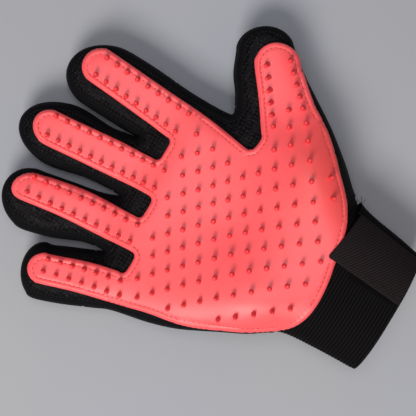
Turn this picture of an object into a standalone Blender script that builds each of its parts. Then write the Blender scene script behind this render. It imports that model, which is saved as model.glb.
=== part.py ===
"""Pet grooming glove for the right hand, lying on its back with the brush pins up.

The glove body is a pillow over a flat outline: two fabric panels meet along a
side seam and bulge away from it, the palm panel upwards and the back panel
down to the floor.  A silicone brush pad follows the palm panel.  The panels and
the pad are divided at the knuckle creases, where each digit hinges.

Lengths are in millimetres in a pattern frame: X towards the thumb, Y from the
cuff's free end to the fingertips, Z up.  place() moves them to the model's
frame, in metres, with the origin under the middle of the whole glove.
"""

import math

import bpy
import bmesh
import numpy as np
from mathutils import Vector
from mathutils.geometry import delaunay_2d_cdt

MM = 0.001

# Cloth, silicone and strap sizes
FABRIC_THICKNESS = 0.8
SEAM_GAP = 1.7
PAD_GAP = 0.5
PAD_THICKNESS = 2.0
PAD_INSET = 1.0
CREASE_GAP = 1.4
CUFF_THICKNESS = 1.6
CUFF_LENGTH = 48.2
GLOVE_START = 49.6
PAD_HEEL_LIMIT = 30.0
PALM_MIDDLE_TOP = (-40.0, 160.0)
TAPE_THICKNESS = 0.6
TAPE_HALF_WIDTH = 3.5
TAPE_GAP = 1.0
PATCH_THICKNESS = 0.9
LOOP_OFFSET = 0.4
HOOK_OFFSET = 1.8
TAB_OFFSET = 3.9
TAB_THICKNESS = 1.3
BAND_THICKNESS = 1.2
BAND_END_OFFSET = 1.2
STRAP_BOTTOM = 1.2
STRAP_TOP = 46.5
TAB_FREE_EDGE = -29.5
TAB_EDGE_X = -8.5
TAB_EDGE_SLANT = 0.135
SEWN_GAP = 0.4
BAND_END_ANGLE = -0.62 * math.pi
BAND_STEP_SHARE = 0.22
PATCH_BOTTOM = 3.0
PATCH_TOP = 31.0
LOOP_PATCH_SIDES = (-33.0, -8.0)
HOOK_PATCH_SIDES = (-27.5, -11.5)
STRAP_STATIONS = 9
PATCH_STATIONS = 6
HINGE_STATIONS = (2.0, 42.0)
HINGE_RISE = 0.3
CREASE_RISE = 0.2

# Pins
PIN_HEIGHT = 5.0
PIN_BASE_RADIUS = 1.25
PIN_TIP_RADIUS = 0.7
PIN_SIDES = 5
PIN_EMBED = 1.0
PALM_PIN_MARGIN = 6.0
HEEL_PIN_MARGIN = 7.5
HEEL_TOP = 60.0
PIN_CLEARANCE = 6.0
# Pins on the thumb's side lean this far out of upright, across the glove
THUMB_LEAN = (-0.38, 0.16)
# Palm pins: first place, step along a row, step between rows and how the rows fan out
PIN_START = (-41.5, 118.4)
PIN_STEP = (14.5, -0.8)
ROW_STEP = (6.1, -5.75)
ROW_FAN = -0.085

# Thickness of the worn glove, wrist to fingertip
WRIST_MID_HEIGHT = 21.5
FINGER_MID_HEIGHT = 12.5
WRIST_BULGE = 20.0
FINGER_BULGE = 11.5
THUMB_BULGE = 12.5
PALM_ROUNDING = 29.0
FINGER_ROUNDING = 15.5
WRIST_LIFT = 3.0
PALM_PRESS = 1.5
FINGER_HOLLOW = 1.8
THUMB_MID_HEIGHT = 16.0
THUMB_ROUNDING = 17.5
WRIST_SQUARENESS = 2.0
PALM_SQUARENESS = 2.6
FINGER_SQUARENESS = 3.1
FABRIC_EASE = 0.8
# Stations along the glove between which its section changes
TAPER_SPAN = (30.0, 170.0)
ROUNDING_SPAN = (118.0, 176.0)
SQUARE_SPAN = (40.0, 80.0)
LIFT_SPAN = (52.0, 74.0)
PRESS_SPAN = (60.0, 80.0)
HOLLOW_SPAN = (150.0, 180.0)
# Where the thumb begins: along it from its crease, and across from a line beside the palm
THUMB_SPAN = (-42.0, 4.0)
THUMB_SIDE_SPAN = (-4.0, 16.0)
THUMB_SIDE_SLANT = 0.12
# Each hump or hollow of the palm: X, Y, width, length, height
PALM_HUMPS = ((2.0, 74.0, 20.0, 24.0, 4.0), (-70.0, 66.0, 17.0, 28.0, 3.0),
              (-40.0, 140.0, 44.0, 11.0, 1.2), (-36.0, 98.0, 20.0, 24.0, -3.2))

# Mesh spacing
OUTLINE_STEP = 8.0
LATTICE_STEP = 12.0
RING_DEPTHS = (1.0, 4.2)
FIELD_STEP = 0.7

CUFF_SIDES = 30
STRAP_COLUMNS = 7

CORAL = (0.92, 0.15, 0.15, 1.0)
MESH_BLACK = (0.010, 0.009, 0.011, 1.0)
STRETCH_BLACK = (0.013, 0.013, 0.015, 1.0)
ELASTIC_BLACK = (0.008, 0.008, 0.009, 1.0)
TWILL_BLACK = (0.012, 0.010, 0.010, 1.0)


class Digit:
    """One finger or the thumb: its crease line and its rows of pins."""

    def __init__(self, name, angle, crease, tip, pin_rows):
        self.name = name
        self.crease = np.array(crease, float)
        turn = math.radians(angle)
        self.direction = np.array([math.sin(turn), math.cos(turn)])
        self.across = np.array([math.cos(turn), -math.sin(turn)])
        self.tip = np.array(tip, float)
        self.pin_rows = pin_rows


DIGITS = (
    Digit("index", 4.1, (-6.5, 167.0), (-7.5, 220.7),
          (((-8.0, 203.5), (-12.3, 150.0), 9), ((2.5, 203.0), (-0.9, 149.0), 9))),
    Digit("middle", -5.3, (-41.8, 166.2), (-48.5, 228.0),
          (((-49.8, 209.3), (-44.5, 144.0), 11), ((-38.7, 210.3), (-33.7, 144.2), 11))),
    Digit("ring", -6.7, (-73.5, 158.6), (-85.5, 217.0),
          (((-82.0, 202.7), (-76.0, 140.5), 10), ((-74.2, 203.5), (-66.3, 141.5), 10))),
    Digit("little", -18.2, (-104.2, 151.0), (-116.5, 186.0),
          (((-114.5, 173.0), (-103.5, 130.7), 7), ((-108.0, 174.0), (-97.0, 134.0), 7))),
    Digit("thumb", 47.0, (32.4, 114.0), (62.2, 139.0),
          (((44.0, 126.3), (16.2, 105.8), 6), ((52.0, 117.3), (33.0, 97.5), 5))),
)


def smoothstep(low, high, value):
    """Ease from 0 at low to 1 at high."""
    t = np.clip((value - low) / (high - low), 0.0, 1.0)
    return t * t * (3.0 - 2.0 * t)


def cap(left, apex, right, squareness=2.0, count=9):
    """Round or squared end from left to right through apex, as a superellipse arc."""
    left, apex, right = (np.array(p, float) for p in (left, apex, right))
    middle = (left + right) / 2.0
    angles = np.linspace(math.pi, 0.0, count)
    along = np.sign(np.cos(angles)) * np.abs(np.cos(angles)) ** (2.0 / squareness)
    rise = np.abs(np.sin(angles)) ** (2.0 / squareness)
    return [middle + a * (right - middle) + r * (apex - middle) for a, r in zip(along, rise)]


def smooth_loop(points, step):
    """Closed Catmull-Rom curve through the points, each span cut into equal steps."""
    pts = np.array(points, float)
    before, after, beyond = np.roll(pts, 1, 0), np.roll(pts, -1, 0), np.roll(pts, -2, 0)
    curve = []
    for a, b, c, d in zip(before, pts, after, beyond):
        count = max(1, round(np.linalg.norm(c - b) / step))
        for t in np.arange(count) / count:
            curve.append(0.5 * (2.0 * b + (c - a) * t + (2.0 * a - 5.0 * b + 4.0 * c - d) * t * t
                                + (3.0 * b - a - 3.0 * c + d) * t ** 3))
    return np.array(curve)


def inset(loop, amount):
    """Clockwise loop moved inwards by an amount."""
    tangent = np.roll(loop, -1, 0) - np.roll(loop, 1, 0)
    tangent /= np.linalg.norm(tangent, axis=1)[:, None]
    return loop + amount * np.column_stack([tangent[:, 1], -tangent[:, 0]])


def fabric_points():
    """Side seam of the whole glove, clockwise from the little-finger side of the wrist."""
    return [(-72.5, -60), (-72.5, -30), (-72.8, 0), (-73.8, 25), (-75.4, 42),
            (-78.6, 49.6), (-86.0, 60.5), (-92.8, 73.5), (-98.4, 84), (-104.3, 96),
            (-109.3, 111), (-114.0, 131), (-118.6, 141.5), (-126.0, 158),
            *cap((-131.0, 172.5), (-115.8, 186.3), (-102.0, 177.0)),
            (-97.5, 167), (-92.0, 154.5), (-88.8, 149.8), (-87.9, 155.5), (-90.0, 165.5),
            (-96.6, 181), *cap((-101.0, 197.0), (-85.5, 217.0), (-69.4, 200.5)),
            (-66.0, 184), (-62.9, 168.5), (-58.4, 158.4), (-56.8, 167), (-58.4, 182.5),
            *cap((-62.8, 201.0), (-48.5, 228.0), (-28.5, 202.0)),
            (-29.0, 184), (-27.6, 173.5), (-24.8, 166.2), (-24.2, 174), (-24.1, 186),
            *cap((-23.8, 199.0), (-7.5, 220.7), (12.0, 197.0)),
            (11.8, 178), (10.3, 154), (10.6, 134), (13.4, 127.6), (23.5, 132.4), (33.0, 139.2),
            *cap((43.0, 143.6), (62.2, 139.0), (60.6, 119.0)),
            (51.5, 107.4), (42.5, 93.5), (33.0, 79), (20.0, 62.5), (8.5, 49.6),
            (1.5, 38), (-2.4, 15), (-5.0, 0), (-5.0, -30), (-5.0, -60)]


def pad_points():
    """Edge of the brush pad, clockwise from the little-finger side of the heel."""
    return [(-77.5, 49.8), (-84.8, 60.5), (-91.8, 74), (-97.8, 86), (-101.6, 97),
            (-104.8, 112), (-108.6, 125.5), (-112.0, 138), (-116.6, 154),
            *cap((-123.0, 173.5), (-114.0, 183.2), (-104.2, 174.0)),
            (-98.6, 159), *cap((-92.8, 140.5), (-86.8, 135.0), (-81.6, 140.5), 6.0),
            (-82.7, 155), (-85.2, 181), *cap((-88.6, 204.5), (-80.8, 213.0), (-70.6, 203.0)),
            (-65.6, 180), (-63.0, 158), *cap((-62.0, 147.0), (-56.2, 142.7), (-50.6, 147.0), 6.0),
            (-51.2, 160), (-53.4, 184), *cap((-55.9, 208.5), (-45.3, 221.1), (-35.1, 209.0)),
            (-33.2, 189), (-31.2, 169), *cap((-30.1, 155.0), (-24.1, 150.6), (-18.0, 155.0), 6.0),
            (-16.6, 168), (-15.0, 187), *cap((-13.7, 204.5), (-2.8, 214.8), (7.8, 203.5)),
            (6.7, 184), (5.4, 163), (4.1, 142), (1.9, 123), (0.3, 111.6), (1.4, 109.9),
            (7.6, 109.2), (11.2, 111.6), (25.2, 121.4),
            *cap((40.2, 133.0), (58.2, 128.2), (52.6, 109.4)),
            (47.8, 103.4), (40.0, 94.1), (31.0, 81), (22.5, 71.5), (12.5, 62), (3.0, 52.5),
            (-7.0, 46), (-17.0, 42.6), (-29.0, 40), (-39.5, 37.9), (-50.5, 36.9),
            (-61.5, 37.9), (-70.5, 42)]


def fabric_loop(step):
    """Side seam as a smooth loop, let out a little round the pattern's points."""
    return smooth_loop(inset(np.array(fabric_points(), float), -FABRIC_EASE), step)


class Pillow:
    """Height of the glove's palm side and back over the flat outline."""

    def __init__(self, outline):
        after = np.roll(outline, -1, 0)
        self.sample = (outline + after) / 2.0
        edge = after - outline
        self.weight = np.column_stack([edge[:, 1], -edge[:, 0]])
        self.normal = self.weight / np.linalg.norm(self.weight, axis=1)[:, None]

    def depth(self, points):
        """Smooth distance inwards from the side seam."""
        points = np.atleast_2d(points)
        result = np.empty(len(points))
        for start in range(0, len(points), 400):
            reach = self.sample[None] - points[start:start + 400, None]
            square = np.maximum((reach ** 2).sum(2), 1e-4)
            flux = (reach * self.weight[None]).sum(2) / square ** 3
            total = np.abs(flux.sum(1))
            smooth = (3.0 * math.pi / 8.0 / total) ** 0.25
            closest = square.argmin(1)
            rows = np.arange(len(closest))
            straight = np.abs((reach[rows, closest] * self.normal[closest]).sum(1))
            blend = smoothstep(FIELD_STEP, 3.0 * FIELD_STEP, np.sqrt(square[rows, closest]))
            result[start:start + 400] = straight * (1.0 - blend) + smooth * blend
        return result

    def thumb_share(self, points):
        thumb = DIGITS[-1]
        return smoothstep(*THUMB_SPAN, (points - thumb.crease) @ thumb.direction) \
            * smoothstep(*THUMB_SIDE_SPAN, points[:, 0] - THUMB_SIDE_SLANT * (points[:, 1] - HEEL_TOP))

    def heights(self, points):
        """Palm-side height and back height at each point."""
        points = np.atleast_2d(points)
        depth, y = self.depth(points), points[:, 1]
        taper = smoothstep(*TAPER_SPAN, y)
        thumb = self.thumb_share(points)
        middle = WRIST_MID_HEIGHT + (FINGER_MID_HEIGHT - WRIST_MID_HEIGHT) * taper
        middle = middle + thumb * (THUMB_MID_HEIGHT - middle)
        bulge = WRIST_BULGE + (FINGER_BULGE - WRIST_BULGE) * taper
        bulge = bulge + thumb * (THUMB_BULGE - bulge)
        digits = smoothstep(*ROUNDING_SPAN, y)
        rounding = PALM_ROUNDING + (FINGER_ROUNDING - PALM_ROUNDING) * digits
        rounding = rounding + thumb * (THUMB_ROUNDING - rounding)
        share = 1.0 - np.clip(depth / rounding, 0.0, 1.0)
        square = WRIST_SQUARENESS + (PALM_SQUARENESS - WRIST_SQUARENESS) * smoothstep(*SQUARE_SPAN, y) \
            + (FINGER_SQUARENESS - PALM_SQUARENESS) * digits
        square = square + thumb * (FINGER_SQUARENESS - square)
        lift = WRIST_LIFT * (1.0 - smoothstep(*LIFT_SPAN, y))
        press = PALM_PRESS * smoothstep(*PRESS_SPAN, y) * (1.0 - thumb)
        below = (middle - lift + press) * (1.0 - thumb) + THUMB_BULGE * thumb
        below = below - FINGER_HOLLOW * smoothstep(*HOLLOW_SPAN, y)
        above_seam = (1.0 - share ** square) ** (1.0 / square) * (bulge + self.relief(points))
        palm = middle + SEAM_GAP / 2.0 + above_seam
        back = np.maximum(0.0, middle - SEAM_GAP / 2.0 - np.sqrt(1.0 - share ** 2) * below)
        return palm, back

    @staticmethod
    def relief(points):
        """Ball of the thumb, heel of the hand, finger pads' roots and hollow of the palm."""
        total = np.zeros(len(points))
        for x, y, wide, tall, height in PALM_HUMPS:
            total += height * np.exp(-(((points[:, 0] - x) / wide) ** 2 + ((points[:, 1] - y) / tall) ** 2))
        return total

    def pin_axes(self, points, normals):
        """Directions the pins stand in: upright on the pad, leaning over on the thumb's side."""
        axes = normals + np.array([*THUMB_LEAN, 0.0]) * self.thumb_share(points)[:, None]
        return axes / np.linalg.norm(axes, axis=1)[:, None]

    def palm_surface(self, points):
        """Points on the palm side with their outward normals."""
        points = np.atleast_2d(points)
        reach = 0.25
        east, west, north, south = (self.heights(points + np.array(shift))[0] for shift in (
            (reach, 0.0), (-reach, 0.0), (0.0, reach), (0.0, -reach)))
        normals = np.column_stack([(west - east) / (2 * reach), (south - north) / (2 * reach),
                                   np.ones(len(points))])
        normals /= np.linalg.norm(normals, axis=1)[:, None]
        return np.column_stack([points, self.heights(points)[0]]), normals


OUTLINE = fabric_loop(FIELD_STEP)
PILLOW = Pillow(OUTLINE)
CENTRE_X = (OUTLINE[:, 0].max() + OUTLINE[:, 0].min()) / 2.0
CENTRE_Y = OUTLINE[:, 1].max() / 2.0


def place(point):
    """Pattern millimetres to model metres."""
    return Vector(((point[0] - CENTRE_X) * MM, (point[1] - CENTRE_Y) * MM, point[2] * MM))


def inside(points, loop):
    """Which points lie inside a closed loop."""
    points = np.atleast_2d(points)
    x, y = points[:, 0][:, None], points[:, 1][:, None]
    ax, ay = loop[:, 0][None], loop[:, 1][None]
    bx, by = np.roll(ax, -1), np.roll(ay, -1)
    crosses = (ay > y) != (by > y)
    slope = np.where(by == ay, 1.0, by - ay)
    at_x = ax + (y - ay) / slope * (bx - ax)
    return (crosses & (x < at_x)).sum(1) % 2 == 1


def loop_distance(points, loop):
    """Distance from each point to a closed loop."""
    a, b = loop[None], np.roll(loop, -1, 0)[None]
    p = np.atleast_2d(points)[:, None]
    t = np.clip(((p - a) * (b - a)).sum(2) / np.maximum(((b - a) ** 2).sum(2), 1e-9), 0.0, 1.0)
    return np.linalg.norm(p - a - t[..., None] * (b - a), axis=2).min(1)


def split(loop, seed, crease, direction, gap):
    """Cut a stretch off a loop at a crease: the piece beyond it, and the rest."""
    ahead = (loop - crease) @ direction
    count = len(loop)
    start = int(np.argmin(np.linalg.norm(loop - seed, axis=1)))

    def walk(step, level):
        k = start
        while ahead[k % count] > level:
            k += step
        here, back = k % count, (k - step) % count
        share = (level - ahead[here]) / (ahead[back] - ahead[here])
        return k, loop[here] + share * (loop[back] - loop[here])

    low, low_point = walk(-1, gap / 2.0)
    high, high_point = walk(1, gap / 2.0)
    piece = [low_point] + [loop[k % count] for k in range(low + 1, high)] + [high_point]
    low, low_point = walk(-1, -gap / 2.0)
    high, high_point = walk(1, -gap / 2.0)
    rest = [high_point] + [loop[k % count] for k in range(high, low + count + 1)] + [low_point]
    return np.array(piece), np.array(rest)


def close_crease(loop):
    """Add points along the straight crease that closes a cut piece."""
    return np.vstack([loop, crease_points(loop[-1], loop[0])])


def crease_points(start, end):
    """Points between two ends, closer together near the ends, where the section is steep."""
    count = max(3, round(np.linalg.norm(end - start) / 4.2))
    shares = (1.0 - np.cos(np.linspace(0.0, math.pi, count + 1))) / 2.0
    return np.array([start + s * (end - start) for s in shares[1:-1]])


def body_loops(loop):
    """Loops of the palm and of each digit, cut from one outline at the creases."""
    loops, rest = {}, loop
    for digit in DIGITS:
        piece, rest = split(rest, digit.tip, digit.crease, digit.direction, CREASE_GAP)
        loops[digit.name] = close_crease(piece)
        rest = np.vstack([crease_points(rest[-1], rest[0]), rest])
    loops["palm"] = rest
    return loops


def plan_mesh(region, pad, seam, interior):
    """Triangulate a body's outline, with its pad's edge and its wrist seam as lines of edges."""
    keep = inside(interior, region) & (loop_distance(interior, region) > 0.8) \
        & (loop_distance(interior, pad) > 1.6)
    if len(seam):
        keep &= np.abs(interior[:, 1] - seam[0][1]) > 1.6
    groups = [region, pad, seam] if len(seam) else [region, pad]
    verts = [Vector(p) for p in np.vstack([*groups, interior[keep]])]
    edges, first = [], 0
    for line in groups:
        last = len(line) - (line is seam)
        edges += [(first + k, first + (k + 1) % len(line)) for k in range(last)]
        first += len(line)
    found, _, faces, *_ = delaunay_2d_cdt(verts, edges, [], 1, 1e-4)
    plan = np.array([tuple(v) for v in found])
    within = inside(np.array([plan[list(face)].mean(0) for face in faces]), region)
    return plan, [tuple(face) for face, kept in zip(faces, within) if kept]


def material(name, colour, roughness):
    """Principled material with one colour."""
    made = bpy.data.materials.new(name)
    made.use_nodes = True
    shader = made.node_tree.nodes["Principled BSDF"]
    shader.inputs["Base Color"].default_value = colour
    shader.inputs["Roughness"].default_value = roughness
    shader.inputs["Metallic"].default_value = 0.0
    return made


def add_object(name, points, faces, finish, flip=False):
    """Named mesh object from pattern points, in the glove's collection."""
    used = sorted({k for face in faces for k in face})
    new_index = {old: new for new, old in enumerate(used)}
    mesh = bpy.data.meshes.new(name)
    order = [tuple(new_index[k] for k in (reversed(face) if flip else face)) for face in faces]
    mesh.from_pydata([place(points[k]) for k in used], [], order)
    mesh.materials.append(finish)
    mesh.shade_smooth()
    made = bpy.data.objects.new(name, mesh)
    PARTS.objects.link(made)
    return made


def thicken(made, thickness, outwards):
    """Solidify an open sheet to one side."""
    solid = made.modifiers.new("thickness", "SOLIDIFY")
    solid.thickness = thickness * MM
    solid.offset = 1.0 if outwards else -1.0
    return made


def add_pins(pad, centres):
    """Join tapered pins to a pad with a union."""
    spots, normals = PILLOW.palm_surface(centres)
    cones = bmesh.new()
    height = PIN_HEIGHT + PIN_EMBED
    for spot, normal, axis in zip(spots, normals, PILLOW.pin_axes(centres, normals)):
        foot = spot + normal * (PAD_GAP + PAD_THICKNESS) + axis * (height / 2.0 - PIN_EMBED)
        turn = Vector((0, 0, 1)).rotation_difference(Vector(axis)).to_matrix().to_4x4()
        turn.translation = place(foot)
        bmesh.ops.create_cone(cones, cap_ends=True, segments=PIN_SIDES, depth=height * MM,
                              radius1=PIN_BASE_RADIUS * MM, radius2=PIN_TIP_RADIUS * MM, matrix=turn)
    mesh = bpy.data.meshes.new(pad.name + "_pin_shapes")
    cones.to_mesh(mesh)
    cones.free()
    shapes = bpy.data.objects.new(pad.name + "_pin_shapes", mesh)
    shapes.hide_render = True
    shapes.display_type = "WIRE"
    CUTTERS.objects.link(shapes)
    union = pad.modifiers.new("pins", "BOOLEAN")
    union.operation = "UNION"
    union.solver = "EXACT"
    union.object = shapes


def pin_centres(pad_outline):
    """Pin places: two rows on each digit and a slanted lattice over the palm."""
    rows = np.array([np.array(a) + s * (np.array(b) - np.array(a))
                     for digit in DIGITS for a, b, count in digit.pin_rows
                     for s in np.linspace(0.0, 1.0, count)])
    lattice = np.array([(PIN_START[0] + PIN_STEP[0] * i + ROW_STEP[0] * j,
                         PIN_START[1] + PIN_STEP[1] * i + ROW_STEP[1] * j + ROW_FAN * j * abs(j))
                        for i in range(-9, 10) for j in range(-4, 13)])
    margin = np.where(lattice[:, 1] < HEEL_TOP, HEEL_PIN_MARGIN, PALM_PIN_MARGIN)
    free = inside(lattice, pad_outline) & (loop_distance(lattice, pad_outline) > margin)
    away = np.linalg.norm(lattice[:, None] - rows[None], axis=2).min(1) > PIN_CLEARANCE
    on_palm = np.all([(lattice - d.crease) @ d.direction < -2.0 for d in DIGITS[:4]], axis=0)
    return np.vstack([rows, lattice[free & away & on_palm]])


def build_glove_body():
    """Fabric panels and brush pad of the palm and of each digit."""
    regions = body_loops(fabric_loop(OUTLINE_STEP))
    pad_outline = inset(smooth_loop(pad_points(), OUTLINE_STEP), PAD_INSET)
    centres = pin_centres(pad_outline)

    rings = [inset(fabric_loop(OUTLINE_STEP), depth) for depth in RING_DEPTHS]
    rows = np.arange(-20.0, 240.0, LATTICE_STEP * 0.866)
    lattice = np.array([(x + (k % 2) * LATTICE_STEP / 2.0, y) for k, y in enumerate(rows)
                        for x in np.arange(-140.0, 80.0, LATTICE_STEP)])
    lattice = lattice[inside(lattice, OUTLINE)]
    lattice = lattice[loop_distance(lattice, OUTLINE) > RING_DEPTHS[-1] + 3.0]
    lattice = lattice[np.linalg.norm(lattice[:, None] - centres[None], axis=2).min(1) > PIN_CLEARANCE]
    rings = [ring[np.linalg.norm(ring[:, None] - centres[None], axis=2).min(1) > 2.5] for ring in rings]
    interior = np.vstack(rings + [lattice, centres])

    made = {}
    for body, region in regions.items():
        seam = []
        if body == "palm":
            region = close_crease(above(region, PAD_HEEL_LIMIT))
            glove = above(region, GLOVE_START)
            seam = np.vstack([glove[-1:], crease_points(glove[-1], glove[0]), glove[:1]])
        plan, faces = plan_mesh(region, pad_outline, seam, interior)
        middle = np.array([plan[list(face)].mean(0) for face in faces])
        on_pad = inside(middle, pad_outline)
        fabric = [f for f, m in zip(faces, middle) if m[1] > GLOVE_START]
        brush = [f for f, flag in zip(faces, on_pad) if flag]
        palm, back = PILLOW.heights(plan)
        surface, normals = PILLOW.palm_surface(plan)
        title = "hand" if body == "palm" else body
        top = add_object(title + "_mesh_panel", surface, fabric, MESH_CLOTH)
        thicken(top, FABRIC_THICKNESS, outwards=False)
        under = add_object(title + "_back_panel", np.column_stack([plan, back]), fabric,
                           STRETCH_CLOTH, flip=True)
        thicken(under, FABRIC_THICKNESS, outwards=False)
        silicone = add_object(title + "_brush_pad", surface + normals * PAD_GAP, brush, SILICONE)
        thicken(silicone, PAD_THICKNESS, outwards=True)
        here = inside(centres, region) & (loop_distance(centres, region) > PIN_BASE_RADIUS + 0.5)
        add_pins(silicone, centres[here])
        made[title] = [top, under, silicone]
    return made


def above(loop, level):
    """The stretch of a loop above a level."""
    return split(loop, PALM_MIDDLE_TOP, np.array((0.0, level)), np.array((0.0, 1.0)), 0.0)[0]


def side_seams(y):
    """Where the side seams stand at a station across the wrist."""
    after = np.roll(OUTLINE, -1, 0)
    crossing = (OUTLINE[:, 1] - y) * (after[:, 1] - y) <= 0.0
    a, b = OUTLINE[crossing], after[crossing]
    x = a[:, 0] + (y - a[:, 1]) / np.where(b[:, 1] == a[:, 1], 1.0, b[:, 1] - a[:, 1]) * (b[:, 0] - a[:, 0])
    return x.min(), x.max()


def wrist_curve(y, angles, offset):
    """Points round the wrist at station y: angle 0 at the thumb side, pi at the other."""
    low, high = side_seams(y)
    centre, half = (low + high) / 2.0, (high - low) / 2.0

    def on_surface(turn):
        x = centre + half * 0.9995 * np.cos(turn)
        palm, back = PILLOW.heights(np.column_stack([x, np.full(len(x), y)]))
        z = np.where(np.sin(turn) >= 0.0, palm - SEAM_GAP / 2.0, back + SEAM_GAP / 2.0)
        return np.column_stack([x, z])

    here = on_surface(angles)
    tangent = on_surface(angles + 0.02) - on_surface(angles - 0.02)
    tangent /= np.linalg.norm(tangent, axis=1)[:, None]
    outward = np.column_stack([tangent[:, 1], -tangent[:, 0]])
    moved = here + outward * np.asarray(offset).reshape(-1, 1)
    return np.column_stack([moved[:, 0], np.full(len(moved), y), moved[:, 1]])


def grid_faces(rows, columns, closed):
    """Quads of a grid of points; closed joins the last column to the first."""
    quads = []
    for r in range(rows - 1):
        for c in range(columns if closed else columns - 1):
            n = (c + 1) % columns
            quads.append((r * columns + c, r * columns + n, (r + 1) * columns + n, (r + 1) * columns + c))
    return quads


def build_cuff():
    """Ribbed elastic cuff and the tape inside the seam that joins it to the glove."""
    turns = np.linspace(0.0, 2.0 * math.pi, CUFF_SIDES, endpoint=False) + 0.01
    stations = np.linspace(0.0, CUFF_LENGTH, 9)
    tube = np.vstack([wrist_curve(y, turns, np.zeros(CUFF_SIDES)) for y in stations])
    cuff = add_object("elastic_cuff", tube, grid_faces(len(stations), CUFF_SIDES, True), ELASTIC, flip=True)
    thicken(cuff, CUFF_THICKNESS, outwards=False)
    stations = np.linspace(GLOVE_START - TAPE_HALF_WIDTH, GLOVE_START + TAPE_HALF_WIDTH, 3)
    depth = CUFF_THICKNESS + TAPE_GAP
    ring = np.vstack([wrist_curve(y, turns, np.full(CUFF_SIDES, -depth)) for y in stations])
    tape = add_object("wrist_seam_tape", ring, grid_faces(len(stations), CUFF_SIDES, True), TAPE, flip=True)
    thicken(tape, TAPE_THICKNESS, outwards=False)


def tab_hinge_x(y):
    """The tab's sewn edge, which slants with the side of the wrist."""
    return TAB_EDGE_X + TAB_EDGE_SLANT * y


def angle_at(y, x):
    """Angle round the palm side of the wrist of a point at x."""
    low, high = side_seams(y)
    return math.acos(max(-1.0, min(1.0, (2.0 * x - low - high) / (high - low))))


def add_band(name, finish, thickness, stations, columns, edge_angles, offsets):
    """Sheet wrapped on the wrist between two angles at each station, then thickened."""
    points = []
    for y in stations:
        start, end = edge_angles(y)
        turns = np.linspace(start, end, columns)
        points.append(wrist_curve(y, turns, offsets(np.linspace(0.0, 1.0, columns))))
    made = add_object(name, np.vstack(points), grid_faces(len(stations), columns, False), finish)
    return thicken(made, thickness, outwards=True)


def build_closure():
    """Hook-and-loop closure on the palm side of the wrist."""
    stations = np.linspace(STRAP_BOTTOM, STRAP_TOP, STRAP_STATIONS)
    tab = add_band("closure_tab", TWILL, TAB_THICKNESS, stations, STRAP_COLUMNS,
                   lambda y: (angle_at(y, TAB_FREE_EDGE), angle_at(y, tab_hinge_x(y) - SEWN_GAP)),
                   lambda s: np.full(len(s), TAB_OFFSET))
    rise = TAB_OFFSET - BAND_END_OFFSET
    add_band("strap_band", ELASTIC, BAND_THICKNESS, stations, 3 * STRAP_COLUMNS,
             lambda y: (angle_at(y, tab_hinge_x(y) + SEWN_GAP), BAND_END_ANGLE),
             lambda s: TAB_OFFSET - rise * smoothstep(0.0, BAND_STEP_SHARE, s))
    stations = np.linspace(PATCH_BOTTOM, PATCH_TOP, PATCH_STATIONS)
    add_band("loop_patch", LOOP_PILE, PATCH_THICKNESS, stations, STRAP_COLUMNS,
             lambda y: [angle_at(y, x) for x in LOOP_PATCH_SIDES],
             lambda s: np.full(len(s), LOOP_OFFSET))
    hook = add_band("hook_patch", HOOK_PLASTIC, PATCH_THICKNESS, stations, STRAP_COLUMNS,
                    lambda y: [angle_at(y, x) for x in HOOK_PATCH_SIDES],
                    lambda s: np.full(len(s), HOOK_OFFSET))
    return [tab, hook]


def add_joint_empty(name, point, axis):
    """Empty on a joint's line, its X axis along the hinge."""
    empty = bpy.data.objects.new(name, None)
    empty.empty_display_size = 0.02
    empty.location = place(point)
    empty.rotation_mode = "QUATERNION"
    empty.rotation_quaternion = Vector(axis).to_track_quat("X", "Z")
    PARTS.objects.link(empty)
    bpy.context.view_layer.update()
    return empty


def hang_on(empty, pieces):
    """Parent pieces to a joint's empty without moving them."""
    for piece in pieces:
        piece.parent = empty
        piece.matrix_parent_inverse = empty.matrix_world.inverted()


def crease_axis(digit):
    """Point and direction of a digit's crease, at the top of the pad."""
    spot, _ = PILLOW.palm_surface(digit.crease)
    point = spot[0] + np.array([0.0, 0.0, PAD_GAP + PAD_THICKNESS + CREASE_RISE])
    return point, np.array([digit.across[0], digit.across[1], 0.0])


def tab_axis():
    """Point and direction of the tab's sewn edge, just above the tab."""
    low, high = (wrist_curve(y, np.array([angle_at(y, tab_hinge_x(y))]),
                             np.array([TAB_OFFSET + TAB_THICKNESS]))[0] for y in HINGE_STATIONS)
    along = (high - low) / np.linalg.norm(high - low)
    return (low + high) / 2.0 + np.array([0.0, 0.0, HINGE_RISE]), along


def build():
    """Model the glove and hang its moving pieces on their hinges."""
    bodies = build_glove_body()
    build_cuff()
    moving = build_closure()
    for digit in DIGITS:
        point, axis = crease_axis(digit)
        hang_on(add_joint_empty(digit.name + "_crease", point, axis), bodies[digit.name])
    point, axis = tab_axis()
    hang_on(add_joint_empty("tab_edge", point, axis), moving)


for old in list(bpy.data.objects):
    bpy.data.objects.remove(old, do_unlink=True)
PARTS = bpy.data.collections.new("grooming_glove")
CUTTERS = bpy.data.collections.new("glove_shapes")
for collection in (PARTS, CUTTERS):
    bpy.context.scene.collection.children.link(collection)
SILICONE = material("coral_silicone", CORAL, 0.42)
MESH_CLOTH = material("air_mesh", MESH_BLACK, 0.85)
STRETCH_CLOTH = material("stretch_knit", STRETCH_BLACK, 0.75)
ELASTIC = material("ribbed_elastic", ELASTIC_BLACK, 0.8)
TAPE = material("seam_tape", ELASTIC_BLACK, 0.7)
TWILL = material("twill_webbing", TWILL_BLACK, 0.7)
LOOP_PILE = material("loop_pile", ELASTIC_BLACK, 0.95)
HOOK_PLASTIC = material("hook_nylon", TWILL_BLACK, 0.5)
build()
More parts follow.
